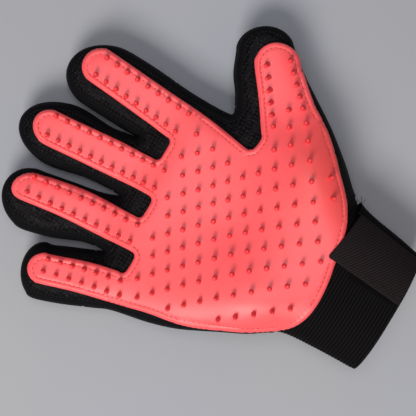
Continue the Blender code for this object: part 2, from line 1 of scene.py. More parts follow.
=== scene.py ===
"""Looks of the pet grooming glove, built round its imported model.

The glove lies on its back with the pins up.  Pattern coordinates are millimetres: X towards
the thumb, Y from the cuff's free end to the fingertips, Z up.  Flat turns them into the model's
frame, in metres.  Fabric, brush pad and strap all follow one pillow surface over the flat pattern.
"""

import logging
import math
from dataclasses import dataclass, field
from enum import Enum
from typing import Optional, Sequence

import bpy
import numpy as np
from mathutils import Matrix, Vector
from mathutils.geometry import delaunay_2d_cdt


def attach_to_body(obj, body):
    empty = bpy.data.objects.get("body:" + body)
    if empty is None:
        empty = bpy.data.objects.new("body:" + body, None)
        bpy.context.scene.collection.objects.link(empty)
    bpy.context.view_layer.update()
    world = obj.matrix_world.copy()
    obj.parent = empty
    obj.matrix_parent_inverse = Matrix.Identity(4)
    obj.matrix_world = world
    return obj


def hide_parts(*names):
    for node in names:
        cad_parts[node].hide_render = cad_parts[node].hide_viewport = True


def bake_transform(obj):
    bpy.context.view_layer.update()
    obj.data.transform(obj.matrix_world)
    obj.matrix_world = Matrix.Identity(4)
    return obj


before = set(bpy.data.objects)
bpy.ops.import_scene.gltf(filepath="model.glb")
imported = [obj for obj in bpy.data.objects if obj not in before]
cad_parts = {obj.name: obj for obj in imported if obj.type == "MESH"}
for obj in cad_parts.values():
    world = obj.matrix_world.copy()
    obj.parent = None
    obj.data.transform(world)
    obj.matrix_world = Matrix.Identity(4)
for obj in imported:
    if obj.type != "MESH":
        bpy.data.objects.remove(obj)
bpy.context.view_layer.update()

LOG = logging.getLogger("grooming_glove")
MM = 0.001
HAND = "hand"
STRAP = "strap"
FIELD_STEP = 0.7
SEAM_GAP = 1.7
FABRIC_EASE = 0.8
WRIST_SEAM = 49.6
YARN_IOR = 1.5

# Where the pillow surface changes along the glove, in Y
TAPER_SPAN = (30.0, 170.0)
ROUNDING_SPAN = (118.0, 176.0)
SQUARENESS_SPAN = (40.0, 80.0)
LIFT_SPAN = (52.0, 74.0)
PRESS_SPAN = (60.0, 80.0)
HOLLOW_SPAN = (150.0, 180.0)

# Where the thumb takes over: along the thumb, and across a slanting line beside the palm
THUMB_SPAN = (-42.0, 4.0)
THUMB_SIDE_SPAN = (-4.0, 16.0)
THUMB_SIDE_SLANT = 0.12
THUMB_SIDE_START = 60.0

# Rectangle that the pattern's inner points fill, and the height of an equilateral triangle
PLAN_X = (-135.0, 75.0)
PLAN_Y = (20.0, 232.0)
ROW_SHARE = 0.866


class Digit(Enum):
    """The five digits, by the name of their body."""

    INDEX = "index"
    MIDDLE = "middle"
    RING = "ring"
    LITTLE = "little"
    THUMB = "thumb"


BODIES = (HAND, *(digit.value for digit in Digit))


class Side(Enum):
    """Which side of the glove a fabric panel covers."""

    PALM = "palm"
    BACK = "back"


@dataclass(frozen=True)
class DigitPattern:
    """Where a digit bends and where its pins stand, in pattern millimetres.

    Args:
        angle: Turn of the digit from +Y towards +X, in degrees.
        crease: Middle of the crease line at its root.
        tip: Highest point of its outline.
        pin_rows: Two rows of pins, each as start, end and count.
        joints: Distances of the knuckles from the crease.
    """

    angle: float
    crease: tuple[float, float]
    tip: tuple[float, float]
    pin_rows: tuple
    joints: tuple[float, ...]

    @property
    def direction(self) -> np.ndarray:
        """Unit vector along the digit."""
        turn = math.radians(self.angle)
        return np.array([math.sin(turn), math.cos(turn)])

    @property
    def across(self) -> np.ndarray:
        """Unit vector along the crease."""
        turn = math.radians(self.angle)
        return np.array([math.cos(turn), -math.sin(turn)])

    def ahead(self, points: np.ndarray) -> np.ndarray:
        """Distance of points beyond the crease, along the digit."""
        return (points[:, :2] - np.array(self.crease)) @ self.direction


DIGITS: dict[Digit, DigitPattern] = {
    Digit.INDEX: DigitPattern(4.1, (-6.5, 167.0), (-7.5, 220.7), (
        ((-8.0, 203.5), (-12.3, 150.0), 9), ((2.5, 203.0), (-0.9, 149.0), 9)), (-2.0, 18.0, 37.0)),
    Digit.MIDDLE: DigitPattern(-5.3, (-41.8, 166.2), (-48.5, 228.0), (
        ((-49.8, 209.3), (-44.5, 144.0), 11), ((-38.7, 210.3), (-33.7, 144.2), 11)), (-2.0, 21.0, 43.0)),
    Digit.RING: DigitPattern(-6.7, (-73.5, 158.6), (-85.5, 217.0), (
        ((-82.0, 202.7), (-76.0, 140.5), 10), ((-74.2, 203.5), (-66.3, 141.5), 10)), (-2.0, 20.0, 40.0)),
    Digit.LITTLE: DigitPattern(-18.2, (-104.2, 151.0), (-116.5, 186.0), (
        ((-114.5, 173.0), (-103.5, 130.7), 7), ((-108.0, 174.0), (-97.0, 134.0), 7)), (-2.0, 10.0, 24.0)),
    Digit.THUMB: DigitPattern(47.0, (32.4, 114.0), (62.2, 139.0), (
        ((44.0, 126.3), (16.2, 105.8), 6), ((52.0, 117.3), (33.0, 97.5), 5)), (4.0, 22.0)),
}


# Curves and flat shapes

def smoothstep(low: float, high: float, value: np.ndarray) -> np.ndarray:
    """Ease from 0 at low to 1 at high."""
    t = np.clip((value - low) / (high - low), 0.0, 1.0)
    return t * t * (3.0 - 2.0 * t)


def bell(value: np.ndarray, width: float) -> np.ndarray:
    """Gaussian bell of a value, 1 at zero."""
    return np.exp(-(value / width) ** 2)


def quarter_round(share: np.ndarray) -> np.ndarray:
    """Height of a quarter circle, from 0 at share 0 to 1 at share 1 and beyond."""
    return np.sqrt(1.0 - (1.0 - np.clip(share, 0.0, 1.0)) ** 2)


def cap(left: Sequence[float], apex: Sequence[float], right: Sequence[float],
        squareness: float = 2.0, count: int = 9) -> list[np.ndarray]:
    """Round or squared end of an outline, as a superellipse arc.

    Args:
        left: Where the arc starts.
        apex: Its highest point.
        right: Where it ends.
        squareness: 2 for an ellipse, more for square corners.
        count: How many points it has.

    Returns:
        Points from left to right.
    """
    start, top, end = (np.array(p, float) for p in (left, apex, right))
    middle = (start + end) / 2.0
    angles = np.linspace(math.pi, 0.0, count)
    along = np.sign(np.cos(angles)) * np.abs(np.cos(angles)) ** (2.0 / squareness)
    rise = np.abs(np.sin(angles)) ** (2.0 / squareness)
    return [middle + a * (end - middle) + r * (top - middle) for a, r in zip(along, rise)]


def smooth_loop(points: Sequence, step: float) -> np.ndarray:
    """Closed Catmull-Rom curve through the points, each span cut into equal steps.

    Args:
        points: Control points, which the curve keeps.
        step: Rough distance between the curve's points.

    Returns:
        Points of the curve, one row each.
    """
    pts = np.array(points, float)
    before, after, beyond = np.roll(pts, 1, 0), np.roll(pts, -1, 0), np.roll(pts, -2, 0)
    curve = []
    for a, b, c, d in zip(before, pts, after, beyond):
        count = max(1, round(np.linalg.norm(c - b) / step))
        for t in np.arange(count) / count:
            curve.append(0.5 * (2.0 * b + (c - a) * t + (2.0 * a - 5.0 * b + 4.0 * c - d) * t * t
                                + (3.0 * b - a - 3.0 * c + d) * t ** 3))
    return np.array(curve)


def fabric_points() -> list:
    """Side seam of the whole glove, clockwise from the little-finger side of the wrist."""
    return [(-72.5, -60), (-72.5, -30), (-72.8, 0), (-73.8, 25), (-75.4, 42),
            (-78.6, 49.6), (-86.0, 60.5), (-92.8, 73.5), (-98.4, 84), (-104.3, 96),
            (-109.3, 111), (-114.0, 131), (-118.6, 141.5), (-126.0, 158),
            *cap((-131.0, 172.5), (-115.8, 186.3), (-102.0, 177.0)),
            (-97.5, 167), (-92.0, 154.5), (-88.8, 149.8), (-87.9, 155.5), (-90.0, 165.5),
            (-96.6, 181), *cap((-101.0, 197.0), (-85.5, 217.0), (-69.4, 200.5)),
            (-66.0, 184), (-62.9, 168.5), (-58.4, 158.4), (-56.8, 167), (-58.4, 182.5),
            *cap((-62.8, 201.0), (-48.5, 228.0), (-28.5, 202.0)),
            (-29.0, 184), (-27.6, 173.5), (-24.8, 166.2), (-24.2, 174), (-24.1, 186),
            *cap((-23.8, 199.0), (-7.5, 220.7), (12.0, 197.0)),
            (11.8, 178), (10.3, 154), (10.6, 134), (13.4, 127.6), (23.5, 132.4), (33.0, 139.2),
            *cap((43.0, 143.6), (62.2, 139.0), (60.6, 119.0)),
            (51.5, 107.4), (42.5, 93.5), (33.0, 79), (20.0, 62.5), (8.5, 49.6),
            (1.5, 38), (-2.4, 15), (-5.0, 0), (-5.0, -30), (-5.0, -60)]


def pad_points() -> list:
    """Edge of the brush pad, clockwise from the little-finger side of the heel."""
    return [(-77.5, 49.8), (-84.8, 60.5), (-91.8, 74), (-97.8, 86), (-101.6, 97),
            (-104.8, 112), (-108.6, 125.5), (-112.0, 138), (-116.6, 154),
            *cap((-123.0, 173.5), (-114.0, 183.2), (-104.2, 174.0)),
            (-98.6, 159), *cap((-92.8, 140.5), (-86.8, 135.0), (-81.6, 140.5), 6.0),
            (-82.7, 155), (-85.2, 181), *cap((-88.6, 204.5), (-80.8, 213.0), (-70.6, 203.0)),
            (-65.6, 180), (-63.0, 158), *cap((-62.0, 147.0), (-56.2, 142.7), (-50.6, 147.0), 6.0),
            (-51.2, 160), (-53.4, 184), *cap((-55.9, 208.5), (-45.3, 221.1), (-35.1, 209.0)),
            (-33.2, 189), (-31.2, 169), *cap((-30.1, 155.0), (-24.1, 150.6), (-18.0, 155.0), 6.0),
            (-16.6, 168), (-15.0, 187), *cap((-13.7, 204.5), (-2.8, 214.8), (7.8, 203.5)),
            (6.7, 184), (5.4, 163), (4.1, 142), (1.9, 123), (0.3, 111.6), (1.4, 109.9),
            (7.6, 109.2), (11.2, 111.6), (25.2, 121.4),
            *cap((40.2, 133.0), (58.2, 128.2), (52.6, 109.4)),
            (47.8, 103.4), (40.0, 94.1), (31.0, 81), (22.5, 71.5), (12.5, 62), (3.0, 52.5),
            (-7.0, 46), (-17.0, 42.6), (-29.0, 40), (-39.5, 37.9), (-50.5, 36.9),
            (-61.5, 37.9), (-70.5, 42)]


def inside(points: np.ndarray, loop: np.ndarray) -> np.ndarray:
    """Which points lie inside a closed loop."""
    x, y = points[:, 0][:, None], points[:, 1][:, None]
    ax, ay = loop[:, 0][None], loop[:, 1][None]
    bx, by = np.roll(ax, -1), np.roll(ay, -1)
    crosses = (ay > y) != (by > y)
    slope = np.where(by == ay, 1.0, by - ay)
    return (crosses & (x < ax + (y - ay) / slope * (bx - ax))).sum(1) % 2 == 1


def loop_distance(points: np.ndarray, loop: np.ndarray) -> np.ndarray:
    """Distance from each point to a closed loop."""
    a, b = loop[None], np.roll(loop, -1, 0)[None]
    span = b - a
    length = np.maximum((span ** 2).sum(2), 1e-9)
    nearest = []
    for start in range(0, len(points), 500):
        p = points[start:start + 500, None]
        t = np.clip(((p - a) * span).sum(2) / length, 0.0, 1.0)
        nearest.append(np.linalg.norm(p - a - t[..., None] * span, axis=2).min(1))
    return np.concatenate(nearest)


def inset(loop: np.ndarray, amount: float, step: Optional[float] = None) -> np.ndarray:
    """Clockwise loop moved inwards, without the knots that a tight corner would give.

    Args:
        loop: Points of the loop.
        amount: How far inwards it goes.
        step: Rough spacing of the points that are kept, or None for all.

    Returns:
        Points at that distance from the loop, in order.
    """
    tangent = np.roll(loop, -1, 0) - np.roll(loop, 1, 0)
    tangent /= np.linalg.norm(tangent, axis=1)[:, None]
    moved = loop + amount * np.column_stack([tangent[:, 1], -tangent[:, 0]])
    moved = moved[loop_distance(moved, loop) > amount * 0.97 - 1e-6]
    if step is None:
        return moved
    kept, travelled = [moved[0]], 0.0
    for before, point in zip(moved, moved[1:]):
        travelled += float(np.linalg.norm(point - before))
        if travelled >= step:
            kept.append(point)
            travelled = 0.0
    return np.array(kept)


def fabric_loop(step: float) -> np.ndarray:
    """Side seam as a smooth loop, let out a little round the pattern's points."""
    return smooth_loop(inset(np.array(fabric_points(), float), -FABRIC_EASE), step)


def split(loop: np.ndarray, seed: np.ndarray, crease: np.ndarray,
          direction: np.ndarray) -> tuple[np.ndarray, np.ndarray]:
    """Cut a stretch off a loop at a straight crease.

    Args:
        loop: Clockwise loop.
        seed: A point near the stretch's far end.
        crease: A point on the crease.
        direction: Unit vector across the crease, towards the stretch.

    Returns:
        The stretch beyond the crease, and the rest of the loop, both from crease to crease.
    """
    ahead = (loop - crease) @ direction
    count = len(loop)
    start = int(np.argmin(np.linalg.norm(loop - seed, axis=1)))

    def walk(step: int) -> tuple[int, np.ndarray]:
        """Follow the loop one way as far as the crease."""
        k = start
        while ahead[k % count] > 0.0:
            k += step
        here, back = k % count, (k - step) % count
        share = -ahead[here] / (ahead[back] - ahead[here])
        return k, loop[here] + share * (loop[back] - loop[here])

    low, low_point = walk(-1)
    high, high_point = walk(1)
    piece = [low_point] + [loop[k % count] for k in range(low + 1, high)] + [high_point]
    rest = [high_point] + [loop[k % count] for k in range(high, low + count + 1)] + [low_point]
    return np.array(piece), np.array(rest)


def crease_points(start: np.ndarray, end: np.ndarray, step: float = 1.2) -> np.ndarray:
    """Points between two ends of a crease, closer near the ends, where the section is steep."""
    count = max(3, round(np.linalg.norm(end - start) / step))
    shares = (1.0 - np.cos(np.linspace(0.0, math.pi, count + 1))) / 2.0
    return np.array([start + s * (end - start) for s in shares[1:-1]])


def body_loops(loop: np.ndarray) -> dict[str, np.ndarray]:
    """Closed loops of the hand and of each digit, cut from one outline at the creases."""
    loops, rest = {}, loop
    for name, digit in DIGITS.items():
        piece, rest = split(rest, np.array(digit.tip), np.array(digit.crease), digit.direction)
        crease = crease_points(piece[-1], piece[0])
        loops[name.value] = np.vstack([piece, crease])
        rest = np.vstack([crease[::-1], rest])
    loops[HAND] = rest
    return loops


# The pillow surface

@dataclass
class Pillow:
    """Height of the glove's palm side and back over the flat pattern, in millimetres."""

    wrist_middle: float = 21.5
    finger_middle: float = 12.5
    thumb_middle: float = 16.0
    wrist_bulge: float = 20.0
    finger_bulge: float = 11.5
    thumb_bulge: float = 12.5
    palm_rounding: float = 29.0
    finger_rounding: float = 15.5
    wrist_lift: float = 3.0
    press: float = 1.5
    finger_hollow: float = 1.8
    thumb_rounding: float = 17.5
    thumb_lean: tuple[float, float] = (-0.38, 0.16)
    pin_upright: float = 0.9
    wrist_squareness: float = 2.0
    palm_squareness: float = 2.6
    finger_squareness: float = 3.1
    humps: tuple = ((2.0, 74.0, 20.0, 24.0, 4.0), (-70.0, 66.0, 17.0, 28.0, 3.0),
                    (-40.0, 140.0, 44.0, 11.0, 1.2), (-36.0, 98.0, 20.0, 24.0, -3.2))
    outline: np.ndarray = field(default_factory=lambda: fabric_loop(FIELD_STEP))

    def __post_init__(self) -> None:
        """Prepare the outline's sample points and their inward weights."""
        edge = np.roll(self.outline, -1, 0) - self.outline
        self.sample = self.outline + edge / 2.0
        self.weight = np.column_stack([edge[:, 1], -edge[:, 0]])
        self.normal = self.weight / np.linalg.norm(self.weight, axis=1)[:, None]

    def depth(self, points: np.ndarray) -> np.ndarray:
        """Smooth distance inwards from the side seam."""
        result = np.empty(len(points))
        for start in range(0, len(points), 400):
            reach = self.sample[None] - points[start:start + 400, None]
            square = np.maximum((reach ** 2).sum(2), 1e-4)
            flux = (reach * self.weight[None]).sum(2) / square ** 3
            smooth = (3.0 * math.pi / 8.0 / np.abs(flux.sum(1))) ** 0.25
            closest = square.argmin(1)
            rows = np.arange(len(closest))
            straight = np.abs((reach[rows, closest] * self.normal[closest]).sum(1))
            blend = smoothstep(FIELD_STEP, 3.0 * FIELD_STEP, np.sqrt(square[rows, closest]))
            result[start:start + 400] = straight * (1.0 - blend) + smooth * blend
        return result

    def thumb_share(self, points: np.ndarray) -> np.ndarray:
        """How far each point belongs to the thumb, 0 to 1."""
        beside = points[:, 0] - THUMB_SIDE_SLANT * (points[:, 1] - THUMB_SIDE_START)
        return smoothstep(*THUMB_SPAN, DIGITS[Digit.THUMB].ahead(points)) \
            * smoothstep(*THUMB_SIDE_SPAN, beside)

    def relief(self, points: np.ndarray) -> np.ndarray:
        """Ball of the thumb, heel of the hand, finger roots and hollow of the palm."""
        return sum(height * bell(points[:, 0] - x, wide) * bell(points[:, 1] - y, tall)
                   for x, y, wide, tall, height in self.humps)

    def heights(self, points: np.ndarray) -> tuple[np.ndarray, np.ndarray]:
        """Palm-side height and back height at each point."""
        depth, y = self.depth(points), points[:, 1]
        taper = smoothstep(*TAPER_SPAN, y)
        thumb = self.thumb_share(points)
        middle = self.wrist_middle + (self.finger_middle - self.wrist_middle) * taper
        middle = middle + thumb * (self.thumb_middle - middle)
        bulge = self.wrist_bulge + (self.finger_bulge - self.wrist_bulge) * taper
        bulge = bulge + thumb * (self.thumb_bulge - bulge)
        digits = smoothstep(*ROUNDING_SPAN, y)
        rounding = self.palm_rounding + (self.finger_rounding - self.palm_rounding) * digits
        rounding = rounding + thumb * (self.thumb_rounding - rounding)
        share = 1.0 - np.clip(depth / rounding, 0.0, 1.0)
        square = self.wrist_squareness \
            + (self.palm_squareness - self.wrist_squareness) * smoothstep(*SQUARENESS_SPAN, y) \
            + (self.finger_squareness - self.palm_squareness) * digits
        square = square + thumb * (self.finger_squareness - square)
        lift = self.wrist_lift * (1.0 - smoothstep(*LIFT_SPAN, y))
        press = self.press * smoothstep(*PRESS_SPAN, y) * (1.0 - thumb)
        below = (middle - lift + press) * (1.0 - thumb) + self.thumb_bulge * thumb
        below = below - self.finger_hollow * smoothstep(*HOLLOW_SPAN, y)
        above_seam = (1.0 - share ** square) ** (1.0 / square) * (bulge + self.relief(points))
        back = middle - SEAM_GAP / 2.0 - np.sqrt(1.0 - share ** 2) * below
        return middle + SEAM_GAP / 2.0 + above_seam, np.maximum(0.0, back)

    def palm_normals(self, points: np.ndarray, reach: float = 0.25) -> np.ndarray:
        """Outward normals of the palm side."""
        east, west, north, south = (self.heights(points + np.array(shift))[0] for shift in (
            (reach, 0.0), (-reach, 0.0), (0.0, reach), (0.0, -reach)))
        normals = np.column_stack([(west - east) / (2 * reach), (south - north) / (2 * reach),
                                   np.ones(len(points))])
        return normals / np.linalg.norm(normals, axis=1)[:, None]

    def pin_axes(self, points: np.ndarray) -> np.ndarray:
        """Directions the pins stand in: upright on the pad, leaning over on the thumb's side."""
        thumb = self.thumb_share(points)[:, None]
        axes = self.palm_normals(points) + np.array([*self.thumb_lean, 0.0]) * thumb \
            + np.array([0.0, 0.0, self.pin_upright]) * (1.0 - thumb)
        return axes / np.linalg.norm(axes, axis=1)[:, None]


@dataclass
class Flat:
    """Turns pattern millimetres into the model's frame."""

    centre: np.ndarray

    def place(self, points: np.ndarray) -> np.ndarray:
        """Points in metres, in the model's frame."""
        return (np.asarray(points, float) - np.array([*self.centre, 0.0])) * MM


STRAP_BOTTOM = 1.2
STRAP_TOP = 46.5
PILLOW = Pillow()
FLAT = Flat(np.array([(PILLOW.outline[:, 0].max() + PILLOW.outline[:, 0].min()) / 2.0,
                      PILLOW.outline[:, 1].max() / 2.0]))


# Meshes

def corner_normals(points: np.ndarray, faces: np.ndarray) -> np.ndarray:
    """Smooth normals of a mesh's points, weighted by face area."""
    total = np.zeros_like(points)
    for k in range(1, faces.shape[1] - 1):
        a, b, c = (points[faces[:, i]] for i in (0, k, k + 1))
        turn = np.cross(b - a, c - a)
        for i in range(faces.shape[1]):
            np.add.at(total, faces[:, i], turn)
    return total / np.maximum(np.linalg.norm(total, axis=1), 1e-12)[:, None]


def border(faces: np.ndarray) -> np.ndarray:
    """Edges that only one face uses, as pairs in that face's order."""
    sides = np.vstack([np.column_stack([faces[:, k], faces[:, (k + 1) % faces.shape[1]]])
                       for k in range(faces.shape[1])])
    low, high = sides.min(1), sides.max(1)
    _, back, count = np.unique(low * (high.max() + 1) + high, return_inverse=True, return_counts=True)
    return sides[count[back.ravel()] == 1]


def link(name: str, mesh: bpy.types.Mesh) -> bpy.types.Object:
    """Object for a mesh, at the origin of the scene."""
    made = bpy.data.objects.new(name, mesh)
    bpy.context.scene.collection.objects.link(made)
    return made


def slab(name: str, outer: np.ndarray, inner: np.ndarray, faces: np.ndarray,
         finishes: Sequence[bpy.types.Material], normals: Optional[np.ndarray] = None,
         finish_of: Optional[np.ndarray] = None,
         marks: Optional[dict[str, np.ndarray]] = None) -> bpy.types.Object:
    """Closed wall between an outer and an inner skin that share one set of faces.

    Args:
        name: The piece's name.
        outer: Outer skin's points in pattern millimetres.
        inner: Inner skin's points.
        faces: Triangles or quads of the outer skin, facing outwards.
        finishes: Materials of the piece.
        normals: The outer skin's normals, where it goes on in another piece.
        finish_of: Number of each face's material.
        marks: Named numbers of the outer points, kept as attributes on both skins.

    Returns:
        The piece's object.
    """
    used, index = np.unique(faces, return_inverse=True)
    faces = index.reshape(faces.shape)
    count = len(used)
    rim = border(faces)
    walls = np.column_stack([rim[:, 1], rim[:, 0], rim[:, 0] + count, rim[:, 1] + count])
    points = np.vstack([outer[used], inner[used]])
    mesh = bpy.data.meshes.new(name)
    mesh.from_pydata(FLAT.place(points).tolist(), [],
                     faces.tolist() + (faces[:, ::-1] + count).tolist() + walls.tolist())
    mesh.shade_smooth()
    for finish in finishes:
        mesh.materials.append(finish)
    if finish_of is not None:
        wanted = np.concatenate([finish_of, finish_of, np.full(len(walls), finish_of.max())])
        mesh.polygons.foreach_set("material_index", wanted.astype(np.int32))
    for title, values in (marks or {}).items():
        attribute = mesh.attributes.new(title, "FLOAT", "POINT")
        attribute.data.foreach_set("value", np.tile(values[used], 2).astype(np.float32))
    if normals is not None:
        out = normals[used]
        start = points[walls[:, 0]]
        wall_turn = np.cross(points[walls[:, 1]] - start, points[walls[:, 3]] - start)
        wall_turn /= np.maximum(np.linalg.norm(wall_turn, axis=1), 1e-9)[:, None]
        ring = np.zeros((2 * count, 3))
        for k in range(4):
            np.add.at(ring, walls[:, k], wall_turn)
        ring /= np.maximum(np.linalg.norm(ring, axis=1), 1e-9)[:, None]
        corners = np.vstack([out[faces.ravel()], -out[faces[:, ::-1].ravel()], ring[walls.ravel()]])
        mesh.normals_split_custom_set(corners.tolist())
    mesh.update()
    return link(name, mesh)


def strand(points: np.ndarray, closed: bool = False) -> bpy.types.Object:
    """A line of edges through points, for a tool that follows a path."""
    count = len(points)
    edges = [(k, k + 1) for k in range(count - 1)] + ([(count - 1, 0)] if closed else [])
    mesh = bpy.data.meshes.new("path")
    mesh.from_pydata(FLAT.place(points).tolist(), edges, [])
    return link("path", mesh)


def spots(points: np.ndarray, axes: np.ndarray) -> bpy.types.Object:
    """Loose points that each carry the direction their instance stands in."""
    mesh = bpy.data.meshes.new("spots")
    mesh.from_pydata(FLAT.place(points).tolist(), [], [])
    attribute = mesh.attributes.new("axis", "FLOAT_VECTOR", "POINT")
    attribute.data.foreach_set("vector", axes.astype(np.float32).ravel())
    return link("spots", mesh)


def attach(piece: bpy.types.Object, body: str, *nodes: str, slot: str) -> None:
    """Hang a hand piece on the hand's body; a piece of any other body only has its transform baked into its
    mesh.

    Args:
        piece: The finished piece.
        body: Name of its body.
        nodes: CAD nodes it stands for.
        slot: Not used.
    """
    if body == HAND:
        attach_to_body(piece, HAND)
    elif body == STRAP:
        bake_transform(piece)
    else:
        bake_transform(piece)
    if nodes:
        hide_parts(*nodes)
    LOG.info("%s on %s: %d faces", piece.name, body, len(piece.data.polygons))


# Node trees

def add_node(tree: bpy.types.NodeTree, kind: str, settings: Optional[dict] = None,
             inputs: Optional[dict] = None) -> bpy.types.Node:
    """Add a node with its settings and links.

    Args:
        tree: The tree it goes in.
        kind: The node's type name.
        settings: Its own properties.
        inputs: Values or sockets for its inputs, by name or number.

    Returns:
        The node.
    """
    made = tree.nodes.new(kind)
    for key, value in (settings or {}).items():
        setattr(made, key, value)
    for key, value in (inputs or {}).items():
        if isinstance(value, bpy.types.NodeSocket):
            tree.links.new(value, made.inputs[key])
        else:
            made.inputs[key].default_value = value
    return made


class NodeKit:
    """Short ways to add nodes to the tree of a tool or a material."""

    tree: bpy.types.NodeTree

    def node(self, kind: str, settings: Optional[dict] = None,
             inputs: Optional[dict] = None) -> bpy.types.Node:
        """Add a node to this tree."""
        return add_node(self.tree, kind, settings, inputs)

    def math(self, operation: str, *values: object) -> bpy.types.NodeSocket:
        """Result of a calculation."""
        return self.node("ShaderNodeMath", {"operation": operation}, dict(enumerate(values))).outputs[0]


class GeometryTool(NodeKit):
    """A Geometry Nodes tree with named inputs that turns a path or points into a plain mesh."""

    def __init__(self, name: str, **sizes: float) -> None:
        """Start a tree whose inputs are a geometry, the named sizes and a material."""
        self.tree = bpy.data.node_groups.new(name, "GeometryNodeTree")
        sockets = self.tree.interface
        sockets.new_socket("Geometry", in_out="OUTPUT", socket_type="NodeSocketGeometry")
        sockets.new_socket("Geometry", in_out="INPUT", socket_type="NodeSocketGeometry")
        for key, value in sizes.items():
            sockets.new_socket(key, in_out="INPUT", socket_type="NodeSocketFloat").default_value = value
        sockets.new_socket("Material", in_out="INPUT", socket_type="NodeSocketMaterial")
        self.start = self.tree.nodes.new("NodeGroupInput").outputs

    def attribute(self, name: str, kind: str = "FLOAT") -> bpy.types.NodeSocket:
        """A named attribute of the points."""
        found = self.node("GeometryNodeInputNamedAttribute", {"data_type": kind}, {"Name": name})
        return found.outputs[0]

    def finish(self, geometry: bpy.types.NodeSocket) -> None:
        """End the tree with plain, smooth geometry in its material."""
        plain = self.node("GeometryNodeRealizeInstances", inputs={"Geometry": geometry})
        smooth = self.node("GeometryNodeSetShadeSmooth", inputs={"Geometry": plain.outputs[0]})
        dressed = self.node("GeometryNodeSetMaterial", inputs={"Geometry": smooth.outputs[0],
                                                               "Material": self.start["Material"]})
        self.node("NodeGroupOutput", inputs={"Geometry": dressed.outputs[0]})

    def run(self, source: bpy.types.Object, name: str, finish: bpy.types.Material,
            **sizes: float) -> bpy.types.Object:
        """Run the tree on a source and keep the result as one plain mesh.

        Args:
            source: Object that the tree starts from, which is removed.
            name: Name of the piece.
            finish: Its material.
            sizes: Named inputs.

        Returns:
            The piece's object.
        """
        modifier = source.modifiers.new("tool", "NODES")
        # node: The CAD node it stands for.
        modifier.node_group = self.tree
        wanted = {**sizes, "Material": finish}
        for item in self.tree.interface.items_tree:
            if item.in_out == "INPUT" and item.name in wanted:
                modifier[item.identifier] = wanted[item.name]
        bpy.context.view_layer.update()
        solved = source.evaluated_get(bpy.context.evaluated_depsgraph_get())
        mesh = bpy.data.meshes.new_from_object(solved)
        mesh.name = name
        source.modifiers.remove(modifier)
        bpy.data.objects.remove(source, do_unlink=True)
        return link(name, mesh)


def pin_tool() -> GeometryTool:
    """Moulded pins that stand on points: a flared foot, a taper and a rounded tip."""
    tool = GeometryTool("moulded_pins", Height=5.0 * MM, Radius=1.5 * MM, Sides=9.0, Seed=4.0)
    post = tool.node("GeometryNodeMeshCylinder", inputs={
        "Vertices": tool.start["Sides"], "Side Segments": 8, "Radius": 1.0, "Depth": 1.0})
    place = tool.node("GeometryNodeInputPosition")
    where = tool.node("ShaderNodeSeparateXYZ", inputs={0: place.outputs[0]})
    share = tool.math("ADD", where.outputs["Z"], 0.5)
    eased = tool.math("SUBTRACT", 0.5, tool.math("MULTIPLY", tool.math(
        "COSINE", tool.math("MULTIPLY", share, math.pi)), 0.5))
    profile = tool.node("ShaderNodeFloatCurve", inputs={"Value": eased})
    curve = profile.mapping.curves[0]
    curve.points[0].location, curve.points[1].location = (0.0, 1.0), (1.0, 0.10)
    for spot in ((0.05, 0.86), (0.16, 0.76), (0.5, 0.66), (0.82, 0.56), (0.94, 0.42)):
        curve.points.new(*spot)
    profile.mapping.update()
    radius = tool.math("MULTIPLY", profile.outputs[0], tool.start["Radius"])
    shaped = tool.node("ShaderNodeCombineXYZ", inputs={
        "X": tool.math("MULTIPLY", where.outputs["X"], radius),
        "Y": tool.math("MULTIPLY", where.outputs["Y"], radius),
        "Z": tool.math("MULTIPLY", eased, tool.start["Height"])})
    pin = tool.node("GeometryNodeSetPosition", inputs={
        "Geometry": post.outputs["Mesh"], "Position": shaped.outputs[0]})
    turn = tool.node("FunctionNodeAlignRotationToVector", {"axis": "Z"}, {
        "Vector": tool.attribute("axis", "FLOAT_VECTOR")})
    size = tool.node("FunctionNodeRandomValue", {"data_type": "FLOAT"}, {
        2: 0.95, 3: 1.04, "Seed": tool.start["Seed"]})
    stood = tool.node("GeometryNodeInstanceOnPoints", inputs={
        "Points": tool.start["Geometry"], "Instance": pin.outputs[0],
        "Rotation": turn.outputs[0], "Scale": size.outputs[1]})
    tool.finish(stood.outputs[0])
    return tool


def stitch_tool() -> GeometryTool:
    """Thread stitches along a path, one rounded stitch each pitch."""
    tool = GeometryTool("thread_stitches", Pitch=2.7 * MM, Length=1.9 * MM, Width=0.5 * MM)
    path = tool.node("GeometryNodeMeshToCurve", inputs={"Mesh": tool.start["Geometry"]})
    even = tool.node("GeometryNodeResampleCurve", {"mode": "LENGTH"}, {
        "Curve": path.outputs[0], "Length": tool.start["Pitch"]})
    turn = tool.node("FunctionNodeAlignRotationToVector", {"axis": "X"}, {
        "Vector": tool.node("GeometryNodeInputTangent").outputs[0]})
    bead = tool.node("GeometryNodeMeshUVSphere", inputs={"Segments": 8, "Rings": 5, "Radius": 0.5})
    size = tool.node("ShaderNodeCombineXYZ", inputs={
        "X": tool.start["Length"], "Y": tool.start["Width"], "Z": tool.start["Width"]})
    sewn = tool.node("GeometryNodeInstanceOnPoints", inputs={
        "Points": even.outputs[0], "Instance": bead.outputs["Mesh"],
        "Rotation": turn.outputs[0], "Scale": size.outputs[0]})
    tool.finish(sewn.outputs[0])
    return tool


def piping_tool() -> GeometryTool:
    """A round cord sewn along a path."""
    tool = GeometryTool("sewn_piping", Radius=1.0 * MM, Sides=10.0)
    path = tool.node("GeometryNodeMeshToCurve", inputs={"Mesh": tool.start["Geometry"]})
    ring = tool.node("GeometryNodeCurvePrimitiveCircle", inputs={
        "Resolution": tool.start["Sides"], "Radius": tool.start["Radius"]})
    tube = tool.node("GeometryNodeCurveToMesh", inputs={
        "Curve": path.outputs[0], "Profile Curve": ring.outputs[0], "Fill Caps": True})
    tool.finish(tube.outputs[0])
    return tool


